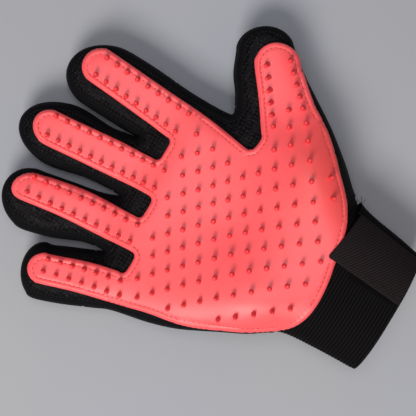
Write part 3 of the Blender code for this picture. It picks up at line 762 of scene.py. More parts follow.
def rib_tool() -> GeometryTool:
    """Ribs round a tube: each point sinks where its 'along' mark falls between two ribs."""
    tool = GeometryTool("knitted_ribs", Pitch=2.0 * MM, Depth=0.5 * MM)
    turn = tool.math("DIVIDE", tool.math("MULTIPLY", tool.attribute("along"), math.pi), tool.start["Pitch"])
    crest = tool.math("POWER", tool.math("ABSOLUTE", tool.math("SINE", turn)), 0.6)
    sunk = tool.math("MULTIPLY", tool.math("SUBTRACT", crest, 1.0), tool.start["Depth"])
    sunk = tool.math("MULTIPLY", sunk, tool.attribute("ribbed"))
    offset = tool.node("ShaderNodeVectorMath", {"operation": "SCALE"}, {
        0: tool.node("GeometryNodeInputNormal").outputs[0], "Scale": sunk})
    ribbed = tool.node("GeometryNodeSetPosition", inputs={
        "Geometry": tool.start["Geometry"], "Offset": offset.outputs[0]})
    tool.finish(ribbed.outputs[0])
    return tool


def hook_tool() -> GeometryTool:
    """Bent filaments on points: open arcs for a hook tape, longer ones for a loop pile."""
    tool = GeometryTool("bent_filaments", Radius=0.5 * MM, Sweep=math.radians(230.0),
                        Filament=0.12 * MM, Seed=2.0)
    bend = tool.node("GeometryNodeCurveArc", inputs={
        "Resolution": 7, "Radius": tool.start["Radius"], "Start Angle": math.radians(-20.0),
        "Sweep Angle": tool.start["Sweep"]})
    ring = tool.node("GeometryNodeCurvePrimitiveCircle", inputs={
        "Resolution": 4, "Radius": tool.start["Filament"]})
    wire = tool.node("GeometryNodeCurveToMesh", inputs={
        "Curve": bend.outputs[0], "Profile Curve": ring.outputs[0]})
    upright = tool.node("GeometryNodeTransform", inputs={
        "Geometry": wire.outputs[0], "Rotation": (math.pi / 2.0, 0.0, 0.0)})
    turn = tool.node("FunctionNodeAlignRotationToVector", {"axis": "Z"}, {
        "Vector": tool.attribute("axis", "FLOAT_VECTOR")})
    about = tool.node("FunctionNodeRandomValue", {"data_type": "FLOAT"}, {
        2: -0.7, 3: 0.7, "Seed": tool.start["Seed"]})
    spin = tool.node("FunctionNodeAxisAngleToRotation", inputs={
        "Axis": (0.0, 0.0, 1.0), "Angle": about.outputs[1]})
    both = tool.node("FunctionNodeRotateRotation", {"rotation_space": "LOCAL"}, {
        0: turn.outputs[0], 1: spin.outputs[0]})
    stood = tool.node("GeometryNodeInstanceOnPoints", inputs={
        "Points": tool.start["Geometry"], "Instance": upright.outputs[0], "Rotation": both.outputs[0]})
    tool.finish(stood.outputs[0])
    return tool


# Finishes

def linear(hex_colour: str) -> tuple[float, float, float, float]:
    """Linear colour of an sRGB hex value."""
    parts = (int(hex_colour[k:k + 2], 16) / 255.0 for k in (1, 3, 5))
    return (*(c / 12.92 if c <= 0.04045 else ((c + 0.055) / 1.055) ** 2.4 for c in parts), 1.0)


class Finish(NodeKit):
    """Base of every finish: a Principled material with a few ways to add detail."""

    def __init__(self, name: str, roughness: float, ior: float, gloss: float = 0.5,
                 sheen: float = 0.0) -> None:
        """Start the material.

        Args:
            name: Real material and how it was made.
            roughness: The shader's roughness.
            ior: The shader's index of refraction.
            gloss: The shader's specular level, low for loose yarn that traps light.
            sheen: Weight of the fuzz that lights up at grazing angles.
        """
        self.made = bpy.data.materials.new(name)
        self.made.use_nodes = True
        self.tree = self.made.node_tree
        self.shader = self.tree.nodes["Principled BSDF"]
        self.shader.inputs["Roughness"].default_value = roughness
        self.shader.inputs["IOR"].default_value = ior
        self.shader.inputs["Specular IOR Level"].default_value = gloss
        self.shader.inputs["Sheen Weight"].default_value = sheen
        self.where = self.node("ShaderNodeTexCoord").outputs["Object"]

    def soften(self, share: float, reach: float) -> None:
        """Let some light pass under the surface, red the furthest.

        Args:
            share: How much of the light goes in.
            reach: How far red light travels, in millimetres.
        """
        self.shader.inputs["Subsurface Weight"].default_value = share
        self.shader.inputs["Subsurface Radius"].default_value = (1.0, 0.25, 0.2)
        self.shader.inputs["Subsurface Scale"].default_value = reach * MM

    def mix(self, share: object, low: object, high: object) -> bpy.types.NodeSocket:
        """Colour between two others."""
        return self.node("ShaderNodeMix", {"data_type": "RGBA"}, {0: share, 6: low, 7: high}).outputs[2]

    def noise(self, size: float, detail: float = 3.0, where: Optional[bpy.types.NodeSocket] = None
              ) -> bpy.types.NodeSocket:
        """Noise whose lumps are about the given size in millimetres."""
        return self.node("ShaderNodeTexNoise", inputs={
            "Vector": where or self.where, "Scale": 1.0 / (size * MM), "Detail": detail}).outputs[0]

    def wave(self, pitch: float, angle: float, sharp: float = 1.0) -> bpy.types.NodeSocket:
        """Ridges of a real pitch in millimetres, at an angle from X in the plan, 0 to 1 high."""
        axes = self.node("ShaderNodeSeparateXYZ", inputs={0: self.where})
        along = self.math("ADD", self.math("MULTIPLY", axes.outputs["X"], math.cos(angle)),
                          self.math("MULTIPLY", axes.outputs["Y"], math.sin(angle)))
        turn = self.math("MULTIPLY", along, math.pi / (pitch * MM))
        return self.math("POWER", self.math("ABSOLUTE", self.math("SINE", turn)), sharp)

    def bump(self, height: bpy.types.NodeSocket, depth: float, under: Optional[bpy.types.NodeSocket] = None
             ) -> bpy.types.NodeSocket:
        """Bump of a real depth in millimetres."""
        inputs = {"Height": height, "Distance": depth * MM, "Strength": 1.0}
        if under is not None:
            inputs["Normal"] = under
        return self.node("ShaderNodeBump", inputs=inputs).outputs[0]

    def close(self, colour: object, normal: Optional[bpy.types.NodeSocket] = None) -> bpy.types.Material:
        """Link the colour and the bump to the shader."""
        if isinstance(colour, bpy.types.NodeSocket):
            self.tree.links.new(colour, self.shader.inputs["Base Color"])
        else:
            self.shader.inputs["Base Color"].default_value = colour
        if normal is not None:
            self.tree.links.new(normal, self.shader.inputs["Normal"])
        return self.made


@dataclass(frozen=True)
class MouldedSilicone:
    """Satin moulded silicone: soft highlights, faint orange peel, and painted shade with a warm painted
    reflection over the ball of the thumb, which turns away from the light.
    """

    colour: str = "#F2555A"
    # painted shade with a warm painted reflection: a darker, more orange coral over the ball of the thumb
    thenar_shade: str = "#D8443C"
    pale: str = "#F66664"
    roughness: float = 0.42
    ior: float = 1.43
    peel: float = 0.9
    softness: float = 0.3
    reach: float = 2.0
    shade_thumb_span: tuple[float, float] = (0.008, 0.040)
    shade_heel_span: tuple[float, float] = (-0.012, -0.045)
    thenar_shade_share: float = 0.55
    cloud: float = 26.0
    cloud_share: float = 0.35
    peel_depth: float = 0.012

    def make(self) -> bpy.types.Material:
        """Build the material."""
        kit = Finish("moulded_silicone_coral_satin", self.roughness, self.ior)
        kit.soften(self.softness, self.reach)
        axes = kit.node("ShaderNodeSeparateXYZ", inputs={0: kit.where})
        # painted shade: darker towards the thumb and towards the heel, strongest in the corner between them
        thumb_shade_ramp, heel_shade_ramp = (kit.node("ShaderNodeMapRange", {"interpolation_type": "SMOOTHSTEP"}, {
            "Value": axes.outputs[axis], "From Min": span[0], "From Max": span[1]})
            for axis, span in (("X", self.shade_thumb_span), ("Y", self.shade_heel_span)))
        cloud = kit.noise(self.cloud, 2.0)
        corner = kit.math("MULTIPLY", thumb_shade_ramp.outputs[0], heel_shade_ramp.outputs[0])
        share = kit.math("MULTIPLY", corner, self.thenar_shade_share)
        base = kit.mix(kit.math("MULTIPLY", cloud, self.cloud_share), linear(self.colour), linear(self.pale))
        colour = kit.mix(share, base, linear(self.thenar_shade))
        fine = kit.bump(kit.noise(self.peel, 2.0), self.peel_depth)
        return kit.close(colour, fine)


@dataclass(frozen=True)
class ShadedPinSilicone:
    """The pins' silicone: painted deeper and more saturated than the pad's, as painted shade for the slim
    pins shading one another.
    """

    # painted shade: a darker red than the pad's own coral
    colour: str = "#E63F45"
    roughness: float = 0.34
    ior: float = 1.43
    softness: float = 0.3
    reach: float = 1.2

    def make(self) -> bpy.types.Material:
        """Build the material."""
        kit = Finish("moulded_silicone_coral_pins_painted_shade", self.roughness, self.ior)
        kit.soften(self.softness, self.reach)
        return kit.close(linear(self.colour))


@dataclass(frozen=True)
class Thread:
    """Twisted sewing thread, with its slant drawn as coarse as shows."""

    name: str
    colour: str
    dark: str
    roughness: float = 0.55

    def make(self) -> bpy.types.Material:
        """Build the material."""
        kit = Finish(self.name, self.roughness, YARN_IOR, 0.25)
        twist = kit.wave(0.5, 0.9)
        return kit.close(kit.mix(twist, linear(self.dark), linear(self.colour)), kit.bump(twist, 0.05))


@dataclass(frozen=True)
class AirMesh:
    """Black spacer mesh: round openings in a knitted net, 2.1 mm apart, with painted highlights flecked over
    the yarn for its shine.
    """

    yarn: str = "#0F0D0F"
    # painted highlights: the lighter colour of the flecks that stand for glints on the yarn
    gloss: str = "#2A272C"
    hole: str = "#020202"
    pitch: float = 2.1

    def make(self) -> bpy.types.Material:
        """Build the material."""
        kit = Finish("spacer_air_mesh_black", 0.6, YARN_IOR, 0.07)
        cells = kit.node("ShaderNodeTexVoronoi", {"feature": "F1"}, {
            "Vector": kit.where, "Scale": 1.0 / (self.pitch * MM), "Randomness": 0.25})
        net = kit.node("ShaderNodeMapRange", inputs={
            "Value": cells.outputs["Distance"], "From Min": 0.22, "From Max": 0.52})
        # painted highlights: small flecks of the gloss colour where the noise runs high
        painted_glint = kit.node("ShaderNodeMapRange", inputs={
            "Value": kit.noise(1.1, 2.0), "From Min": 0.58, "From Max": 0.72})
        yarn = kit.mix(painted_glint.outputs[0], linear(self.yarn), linear(self.gloss))
        colour = kit.mix(net.outputs[0], linear(self.hole), yarn)
        threads = kit.bump(kit.noise(0.5, 2.0), 0.08)
        return kit.close(colour, kit.bump(net.outputs[0], 0.35, threads))


@dataclass(frozen=True)
class StretchKnit:
    """Smooth black stretch knit: fine lengthwise wales, drawn 0.9 mm apart so that they show."""

    light: str = "#0D0C0E"
    dark: str = "#060507"
    worn: str = "#131215"
    wale: float = 0.9

    def make(self) -> bpy.types.Material:
        """Build the material."""
        kit = Finish("stretch_knit_black", 0.72, YARN_IOR, 0.05, 0.01)
        wales = kit.wave(self.wale, 0.0)
        rows = kit.wave(self.wale * 0.8, math.pi / 2.0)
        weave = kit.math("MULTIPLY", wales, kit.math("ADD", kit.math("MULTIPLY", rows, 0.4), 0.6))
        cloth = kit.mix(weave, linear(self.dark), linear(self.light))
        worn = kit.mix(kit.math("MULTIPLY", kit.noise(18.0), 0.3), cloth, linear(self.worn))
        return kit.close(worn, kit.bump(weave, 0.12))


@dataclass(frozen=True)
class WovenElastic:
    """Black elastic: dull rubber-cored yarn, with fine threads across each rib."""

    name: str = "woven_elastic_black"
    light: str = "#0E0B0C"
    dark: str = "#040303"
    thread: float = 0.8
    lint: str = "#141113"

    def make(self) -> bpy.types.Material:
        """Build the material."""
        kit = Finish(self.name, 0.78, YARN_IOR, 0.05)
        threads = kit.math("MULTIPLY", kit.wave(self.thread, 0.0), kit.wave(self.thread, math.pi / 2.0))
        colour = kit.mix(threads, linear(self.dark), linear(self.light))
        lint = kit.mix(kit.math("MULTIPLY", kit.noise(7.0), 0.25), colour, linear(self.lint))
        return kit.close(lint, kit.bump(threads, 0.10))


@dataclass(frozen=True)
class RibbedElastic:
    """Black ribbed elastic: crests catch the light, the valleys between them stay dark."""

    crest: str = "#131012"
    valley: str = "#020202"
    pitch: float = 1.8

    def make(self) -> bpy.types.Material:
        """Build the material."""
        kit = Finish("ribbed_elastic_black", 0.75, YARN_IOR, 0.06)
        along = kit.node("ShaderNodeAttribute", {"attribute_name": "along"}).outputs["Fac"]
        turn = kit.math("MULTIPLY", along, math.pi / (self.pitch * MM))
        crest = kit.math("POWER", kit.math("ABSOLUTE", kit.math("SINE", turn)), 1.6)
        threads = kit.wave(0.8, 0.0)
        weave = kit.math("MULTIPLY", crest, kit.math("ADD", kit.math("MULTIPLY", threads, 0.4), 0.6))
        return kit.close(kit.mix(weave, linear(self.valley), linear(self.crest)), kit.bump(threads, 0.08))


@dataclass(frozen=True)
class TwillWebbing:
    """Black twill: slanting ridges 1.4 mm apart that catch the light on one side."""

    light: str = "#231C1D"
    dark: str = "#040303"
    pitch: float = 1.4
    slant: float = 0.95

    def make(self) -> bpy.types.Material:
        """Build the material."""
        kit = Finish("twill_webbing_black", 0.62, YARN_IOR, 0.08)
        ridges = kit.wave(self.pitch, self.slant, 0.8)
        threads = kit.wave(0.7, self.slant + math.pi / 2.0)
        weave = kit.math("ADD", kit.math("MULTIPLY", ridges, 0.8), kit.math("MULTIPLY", threads, 0.2))
        return kit.close(kit.mix(weave, linear(self.dark), linear(self.light)), kit.bump(weave, 0.3))


@dataclass(frozen=True)
class PlainPile:
    """Black napped or extruded nylon of the hook-and-loop closure."""

    name: str
    colour: str
    lump: float
    roughness: float
    shade: str = "#050506"

    def make(self) -> bpy.types.Material:
        """Build the material."""
        kit = Finish(self.name, self.roughness, 1.53, 0.06)
        lumps = kit.noise(self.lump)
        return kit.close(kit.mix(lumps, linear(self.shade), linear(self.colour)), kit.bump(lumps, 0.15))


@dataclass(frozen=True)
class PaleBoard:
    """Matt painted board under the glove, with the faintest mottling."""

    colour: str = "#969AA6"
    warm: str = "#A3A09E"

    def make(self) -> bpy.types.Material:
        """Build the material."""
        kit = Finish("painted_board_pale_grey", 0.9, 1.45)
        return kit.close(kit.mix(kit.noise(180.0, 2.0), linear(self.colour), linear(self.warm)))


# The glove body

PAD_HEEL_LIMIT = 30.0


@dataclass
class Pattern:
    """The flat pattern, cut into fine triangles that panels and pad share.

    Args:
        step: Spacing of the points in millimetres.
        pad_inset: How far inside its drawn outline the pad ends.
    """

    step: float = 1.9
    ring_step: float = 1.5
    pad_inset: float = 1.0
    fabric_rings: tuple[float, ...] = (0.2, 0.6, 1.2, 2.0, 3.4, 4.2, 5.0)
    pad_rings: tuple[float, ...] = (0.15, 0.45, 0.9, 1.4, 2.0, 2.5, 2.8, 3.1, 3.4, 3.9)

    def __post_init__(self) -> None:
        """Triangulate the pattern and measure it."""
        self.outline = fabric_loop(self.ring_step)
        self.pad = inset(smooth_loop(pad_points(), self.ring_step), self.pad_inset)
        self.loops = body_loops(self.outline)
        self.triangulate()
        self.measure()

    def triangulate(self) -> None:
        """Cut the pattern into triangles along outlines, creases and the wrist seam."""
        rows = np.arange(*PLAN_Y, self.step * ROW_SHARE)
        lattice = np.array([(x + (k % 2) * self.step / 2.0, y) for k, y in enumerate(rows)
                            for x in np.arange(*PLAN_X, self.step)])
        lattice = lattice[inside(lattice, self.outline)]
        lattice = lattice[loop_distance(lattice, self.outline) > self.fabric_rings[-1] + 0.5]
        lattice = lattice[(loop_distance(lattice, self.pad) > self.pad_rings[-1] + 0.5)
                          | ~inside(lattice, self.pad)]
        rings = [inset(self.outline, depth, self.ring_step) for depth in self.fabric_rings]
        brims = [inset(self.pad, depth, self.ring_step) for depth in self.pad_rings]
        extra = np.vstack(rings + [lattice])
        brim = loop_distance(extra, self.pad) < self.pad_rings[-1] + 0.4
        extra = extra[~(inside(extra, self.pad) & brim)]
        extra = np.vstack([extra] + brims)
        extra = extra[loop_distance(extra, self.pad) > 0.1]
        extra = extra[inside(extra, self.outline)]
        for loop in self.loops.values():
            extra = extra[loop_distance(extra, loop) > 0.12]
        low, high = np.sort(self.outline[np.argsort(np.abs(self.outline[:, 1] - WRIST_SEAM))[:2], 0])
        seam = np.column_stack([np.linspace(low - 2.0, high + 2.0, 70), np.full(70, WRIST_SEAM)])
        extra = extra[np.abs(extra[:, 1] - WRIST_SEAM) > 0.3]
        verts, edges = [], []
        for loop in (*self.loops.values(), self.pad, seam):
            first = len(verts)
            verts += [Vector(p) for p in loop]
            last = len(loop) - (loop is seam)
            edges += [(first + k, first + (k + 1) % len(loop)) for k in range(last)]
        verts += [Vector(p) for p in extra]
        found, _, faces, *_ = delaunay_2d_cdt(verts, edges, [], 1, 1e-4)
        self.points = np.array([tuple(v) for v in found])
        self.faces = np.array([tuple(face) for face in faces])
        middle = self.points[self.faces].mean(1)
        keep = inside(middle, self.outline) & (middle[:, 1] > PAD_HEEL_LIMIT)
        self.faces, self.middle = self.faces[keep], middle[keep]
        a, b, c = (self.points[self.faces[:, k]] for k in range(3))
        turned = np.cross(b - a, c - a) < 0.0
        self.faces[turned] = self.faces[turned][:, ::-1]

    def measure(self) -> None:
        """Find which body and layer each face belongs to, and the surface over the pattern."""
        used = np.unique(self.faces)
        self.palm, self.back = np.zeros(len(self.points)), np.zeros(len(self.points))
        self.depth = np.zeros(len(self.points))
        self.palm[used], self.back[used] = PILLOW.heights(self.points[used])
        self.depth[used] = loop_distance(self.points[used], self.outline)
        self.body_of = np.full(len(self.faces), HAND, dtype=object)
        for digit in Digit:
            self.body_of[inside(self.middle, self.loops[digit.value])] = digit.value
        self.on_pad = inside(self.middle, self.pad)
        self.is_glove = self.middle[:, 1] > WRIST_SEAM
        self.surface = np.column_stack([self.points, self.palm])
        self.normals = corner_normals(self.surface, self.faces)
        LOG.info("pattern: %d points, %d triangles", len(used), len(self.faces))


@dataclass
class BrushPad:
    """Coral silicone pad: a rounded rim, a sewn groove 3 mm inside it, and tapered pins."""

    pattern: Pattern
    thickness: float = 2.0
    gap: float = 0.5
    edge_radius: float = 1.3
    edge_share: float = 0.42
    groove_at: float = 3.0
    groove_depth: float = 0.45
    groove_width: float = 0.5
    rim_rise: float = 0.3
    pin_height: float = 5.0
    pin_radius: float = 1.8
    pin_sink: float = 0.3
    pin_margin: float = 6.0
    heel_margin: float = 7.5
    heel_line: float = 60.0
    pin_clearance: float = 6.0
    lattice_start: tuple[float, float] = (-41.5, 118.4)
    lattice_across: tuple[float, float] = (14.5, -0.8)
    lattice_back: tuple[float, float] = (6.1, -5.75)
    lattice_curl: float = 0.085

    def thickness_at(self, distance: np.ndarray) -> np.ndarray:
        """Thickness of the pad at a distance inside its edge."""
        edge = self.edge_share + (1.0 - self.edge_share) * quarter_round(distance / self.edge_radius)
        groove = self.groove_depth * bell(distance - self.groove_at, self.groove_width)
        rim = self.rim_rise * smoothstep(0.6, 1.6, distance) * (1.0 - smoothstep(2.2, 4.0, distance))
        return self.thickness * edge - groove + rim

    def pin_centres(self) -> np.ndarray:
        """Pin places: two rows on each digit and a slanted lattice over the palm."""
        pad = self.pattern.pad
        rows = np.array([np.array(a) + s * (np.array(b) - np.array(a))
                         for digit in DIGITS.values() for a, b, count in digit.pin_rows
                         for s in np.linspace(0.0, 1.0, count)])
        (x, y), (right, drop), (lean, back) = self.lattice_start, self.lattice_across, self.lattice_back
        curl = self.lattice_curl
        lattice = np.array([(x + right * i + lean * j, y + drop * i + back * j - curl * j * abs(j))
                            for i in range(-9, 10) for j in range(-4, 13)])
        margin = np.where(lattice[:, 1] < self.heel_line, self.heel_margin, self.pin_margin)
        free = inside(lattice, pad) & (loop_distance(lattice, pad) > margin)
        away = np.linalg.norm(lattice[:, None] - rows[None], axis=2).min(1) > self.pin_clearance
        fingers = [digit for name, digit in DIGITS.items() if name is not Digit.THUMB]
        on_palm = np.all([digit.ahead(lattice) < -2.0 for digit in fingers], axis=0)
        return np.vstack([rows, lattice[free & away & on_palm]])

    def build_slabs(self, finish: bpy.types.Material) -> None:
        """Make the pad's own slab, one piece for each body."""
        plan = self.pattern
        distance = loop_distance(plan.points, plan.pad)
        top = plan.surface + plan.normals * (self.gap + self.thickness_at(distance))[:, None]
        bottom = plan.surface + plan.normals * self.gap * 0.3
        smooth = corner_normals(top, plan.faces[plan.on_pad])
        for body in BODIES:
            faces = plan.faces[plan.on_pad & (plan.body_of == body)]
            piece = slab(body + "_silicone_pad", top, bottom, faces, [finish], smooth)
            attach(piece, body, body + "_brush_pad", slot="coral_silicone")

    def build_pins(self, tool: GeometryTool, finish: bpy.types.Material) -> None:
        """Stand the pins on the pad."""
        centres = self.pin_centres()
        axes = PILLOW.pin_axes(centres)
        top = PILLOW.palm_normals(centres) * (self.gap + self.thickness)
        feet = np.column_stack([centres, PILLOW.heights(centres)[0]]) + top - axes * self.pin_sink
        LOG.info("%d pins", len(centres))
        for body, loop in self.pattern.loops.items():
            here = inside(centres, loop)
            piece = tool.run(spots(feet[here], axes[here]), body + "_pins", finish,
                             Height=(self.pin_height + self.pin_sink) * MM, Radius=self.pin_radius * MM)
            attach(piece, body, slot="coral_silicone")

    def build_stitches(self, tool: GeometryTool, finish: bpy.types.Material) -> None:
        """Sew the pad's edge, three millimetres inside it."""
        line = inset(smooth_loop(pad_points(), FIELD_STEP), self.pattern.pad_inset + self.groove_at)
        height = self.gap + self.thickness - self.groove_depth + 0.12
        for body, path, closed in cut_line(line, self.pattern.loops):
            spot = np.column_stack([path, PILLOW.heights(path)[0]]) + PILLOW.palm_normals(path) * height
            piece = tool.run(strand(spot, closed), f"{body}_pad_stitches_{STITCHED.next(body)}", finish,
                             Pitch=2.6 * MM, Length=1.8 * MM, Width=0.55 * MM)
            attach(piece, body, slot="coral_silicone")


class Tally:
    """Numbers the pieces of one kind on each body."""

    def __init__(self) -> None:
        """Start every count at zero."""
        self.counts: dict[str, int] = {}

    def next(self, body: str) -> int:
        """The next number for a body."""
        self.counts[body] = self.counts.get(body, 0) + 1
        return self.counts[body]


STITCHED = Tally()


def cut_line(line: np.ndarray, loops: dict[str, np.ndarray]) -> list[tuple[str, np.ndarray, bool]]:
    """Cut a closed line where it passes from one body to the next.

    Args:
        line: Closed line of pattern points.
        loops: Closed loop of each body.

    Returns:
        Each stretch with its body, its points and whether it is closed.
    """
    owner = np.full(len(line), HAND, dtype=object)
    for body, loop in loops.items():
        if body != HAND:
            owner[inside(line, loop)] = body
    change = np.flatnonzero(owner != np.roll(owner, 1))
    if not len(change):
        return [(owner[0], line, True)]
    line, owner = np.roll(line, -change[0], 0), np.roll(owner, -change[0])
    ends = list(np.flatnonzero(owner[1:] != owner[:-1]) + 1) + [len(line)]
    stretches, start = [], 0
    for end in ends:
        if end - start > 3:
            stretches.append((owner[start], line[start:end], False))
        start = end
    return stretches


@dataclass
class FabricBody:
    """Air-mesh palm panel, stretch back panel and the cord sewn along their side seam."""

    pattern: Pattern
    thickness: float = 0.8
    wrap: float = 4.2
    seam_depth: float = 0.35
    piping_radius: float = 1.05
    piping_inset: float = 0.55
    margin_fold: float = 0.55
    back_fold: float = 0.8
    knuckle_fold: float = 0.5
    gather: float = 0.6

    def undulation(self, points: np.ndarray, size: float) -> np.ndarray:
        """Soft folds about the given size, between -1 and 1."""
        x, y = points[:, 0] / size, points[:, 1] / size
        return (np.sin(1.9 * x + 0.7 * y + 0.4) * np.sin(0.8 * x - 1.7 * y + 1.1)
                + 0.5 * np.sin(3.7 * x - 1.3 * y + 2.0) * np.sin(1.1 * x + 3.1 * y)) / 1.5

    def wrist_gathers(self, points: np.ndarray) -> np.ndarray:
        """Small gathers where the glove is sewn to the cuff."""
        near = np.exp(-np.maximum(points[:, 1] - WRIST_SEAM, 0.0) / 6.0)
        return near * np.sin(points[:, 0] * 1.15 + 0.8 * np.sin(points[:, 0] * 0.31)) * self.gather

    def palm_relief(self) -> np.ndarray:
        """How far the palm panel stands off the plain surface."""
        plan = self.pattern
        shown = smoothstep(0.0, 1.5, loop_distance(plan.points, plan.pad))
        shown = shown * ~inside(plan.points, plan.pad)
        fold = self.undulation(plan.points, 9.0) * self.margin_fold + self.wrist_gathers(plan.points) * 0.5
        seam = self.seam_depth * bell(plan.depth - self.wrap, 0.6)
        edge = smoothstep(0.3, 2.0, plan.depth)
        return shown * edge * (fold - seam)

    def back_relief(self) -> np.ndarray:
        """How far the back panel stands off the plain surface, with folds at the knuckles."""
        plan = self.pattern
        points = plan.points
        fold = self.undulation(points, 14.0) * self.back_fold + self.wrist_gathers(points)
        for name, digit in DIGITS.items():
            ahead = digit.ahead(points)
            near = bell((points - np.array(digit.crease)) @ digit.across, 14.0)
            for joint in digit.joints:
                fold = fold + self.knuckle_fold * np.cos((ahead - joint) * 2.0 * math.pi / 4.4) \
                    * bell(ahead - joint, 5.0) * near
        return fold * smoothstep(0.6, 3.0, plan.depth)

    def build_panel(self, side: Side, mesh_finish: bpy.types.Material, knit: bpy.types.Material) -> None:
        """Make one panel, a piece for each body.

        Args:
            side: Palm or back.
            mesh_finish: Air mesh.
            knit: Stretch knit.
        """
        plan = self.pattern
        glove = plan.faces[plan.is_glove]
        if side is Side.PALM:
            faces, plain = glove, plan.surface
            relief, title, slot = self.palm_relief(), "mesh_panel", "air_mesh"
        else:
            faces = glove[:, ::-1]
            plain = np.column_stack([plan.points, plan.back])
            relief, title, slot = self.back_relief(), "back_panel", "stretch_knit"
        normals = corner_normals(plain, faces)
        outer = plain + normals * relief[:, None]
        outer[:, 2] = np.maximum(outer[:, 2], 0.0)
        inner = outer - normals * self.thickness
        inner[:, 2] = np.maximum(inner[:, 2], 0.3) if side is Side.BACK else inner[:, 2]
        smooth = corner_normals(outer, faces)
        wrapped = (plan.depth[glove].mean(1) < self.wrap).astype(int)
        for body in BODIES:
            mine = plan.body_of[plan.is_glove] == body
            finishes = [mesh_finish, knit] if side is Side.PALM else [knit]
            piece = slab(f"{body}_{title}_cloth", outer, inner, faces[mine], finishes, smooth,
                         wrapped[mine] if side is Side.PALM else None)
            attach(piece, body, f"{body}_{title}", slot=slot)

    def build_piping(self, tool: GeometryTool, finish: bpy.types.Material) -> None:
        """Sew a cord along the side seam."""
        line = inset(fabric_loop(1.1), self.piping_inset)
        line = line[line[:, 1] > WRIST_SEAM - 1.0]
        line = np.roll(line, -int(np.argmax(np.linalg.norm(np.roll(line, 1, 0) - line, axis=1))), 0)
        for body, path, closed in cut_line(line, self.pattern.loops):
            palm, back = PILLOW.heights(path)
            middle = (palm + back) / 2.0
            piece = tool.run(strand(np.column_stack([path, middle]), closed),
                             f"{body}_side_piping_{PIPED.next(body)}", finish,
                             Radius=self.piping_radius * MM)
            attach(piece, body, slot="stretch_knit")

    def build_seam(self, tool: GeometryTool, finish: bpy.types.Material) -> None:
        """Stitch the panel seam on the palm side where the margin is wide enough to show it."""
        line = inset(fabric_loop(FIELD_STEP), self.wrap)
        line = line[line[:, 1] > WRIST_SEAM + 1.0]
        for body, path, _ in cut_line(line, self.pattern.loops):
            shown = ~inside(path, self.pattern.pad) & (loop_distance(path, self.pattern.pad) > 0.6)
            starts = np.flatnonzero(np.diff(np.concatenate([[False], shown, [False]]).astype(int)))
            for start, end in zip(starts[::2], starts[1::2]):
                stretch = path[start:end]
                if len(stretch) < 12 or np.linalg.norm(np.diff(stretch, axis=0), axis=1).max() > 3.0:
                    continue
                height = np.column_stack([stretch, PILLOW.heights(stretch)[0] - 0.1])
                piece = tool.run(strand(height), f"{body}_seam_stitches_{SEAMED.next(body)}", finish,
                                 Pitch=2.0 * MM, Length=1.5 * MM, Width=0.45 * MM)
                attach(piece, body, slot="air_mesh")


PIPED = Tally()
SEAMED = Tally()


# The wrist

TAB_EDGE_X = -8.5
TAB_SLANT = 0.135


def tab_edge(y: float | np.ndarray) -> float | np.ndarray:
    """X of the tab's sewn edge, which slants with the side of the wrist, at one station or many."""
    return TAB_EDGE_X + TAB_SLANT * y


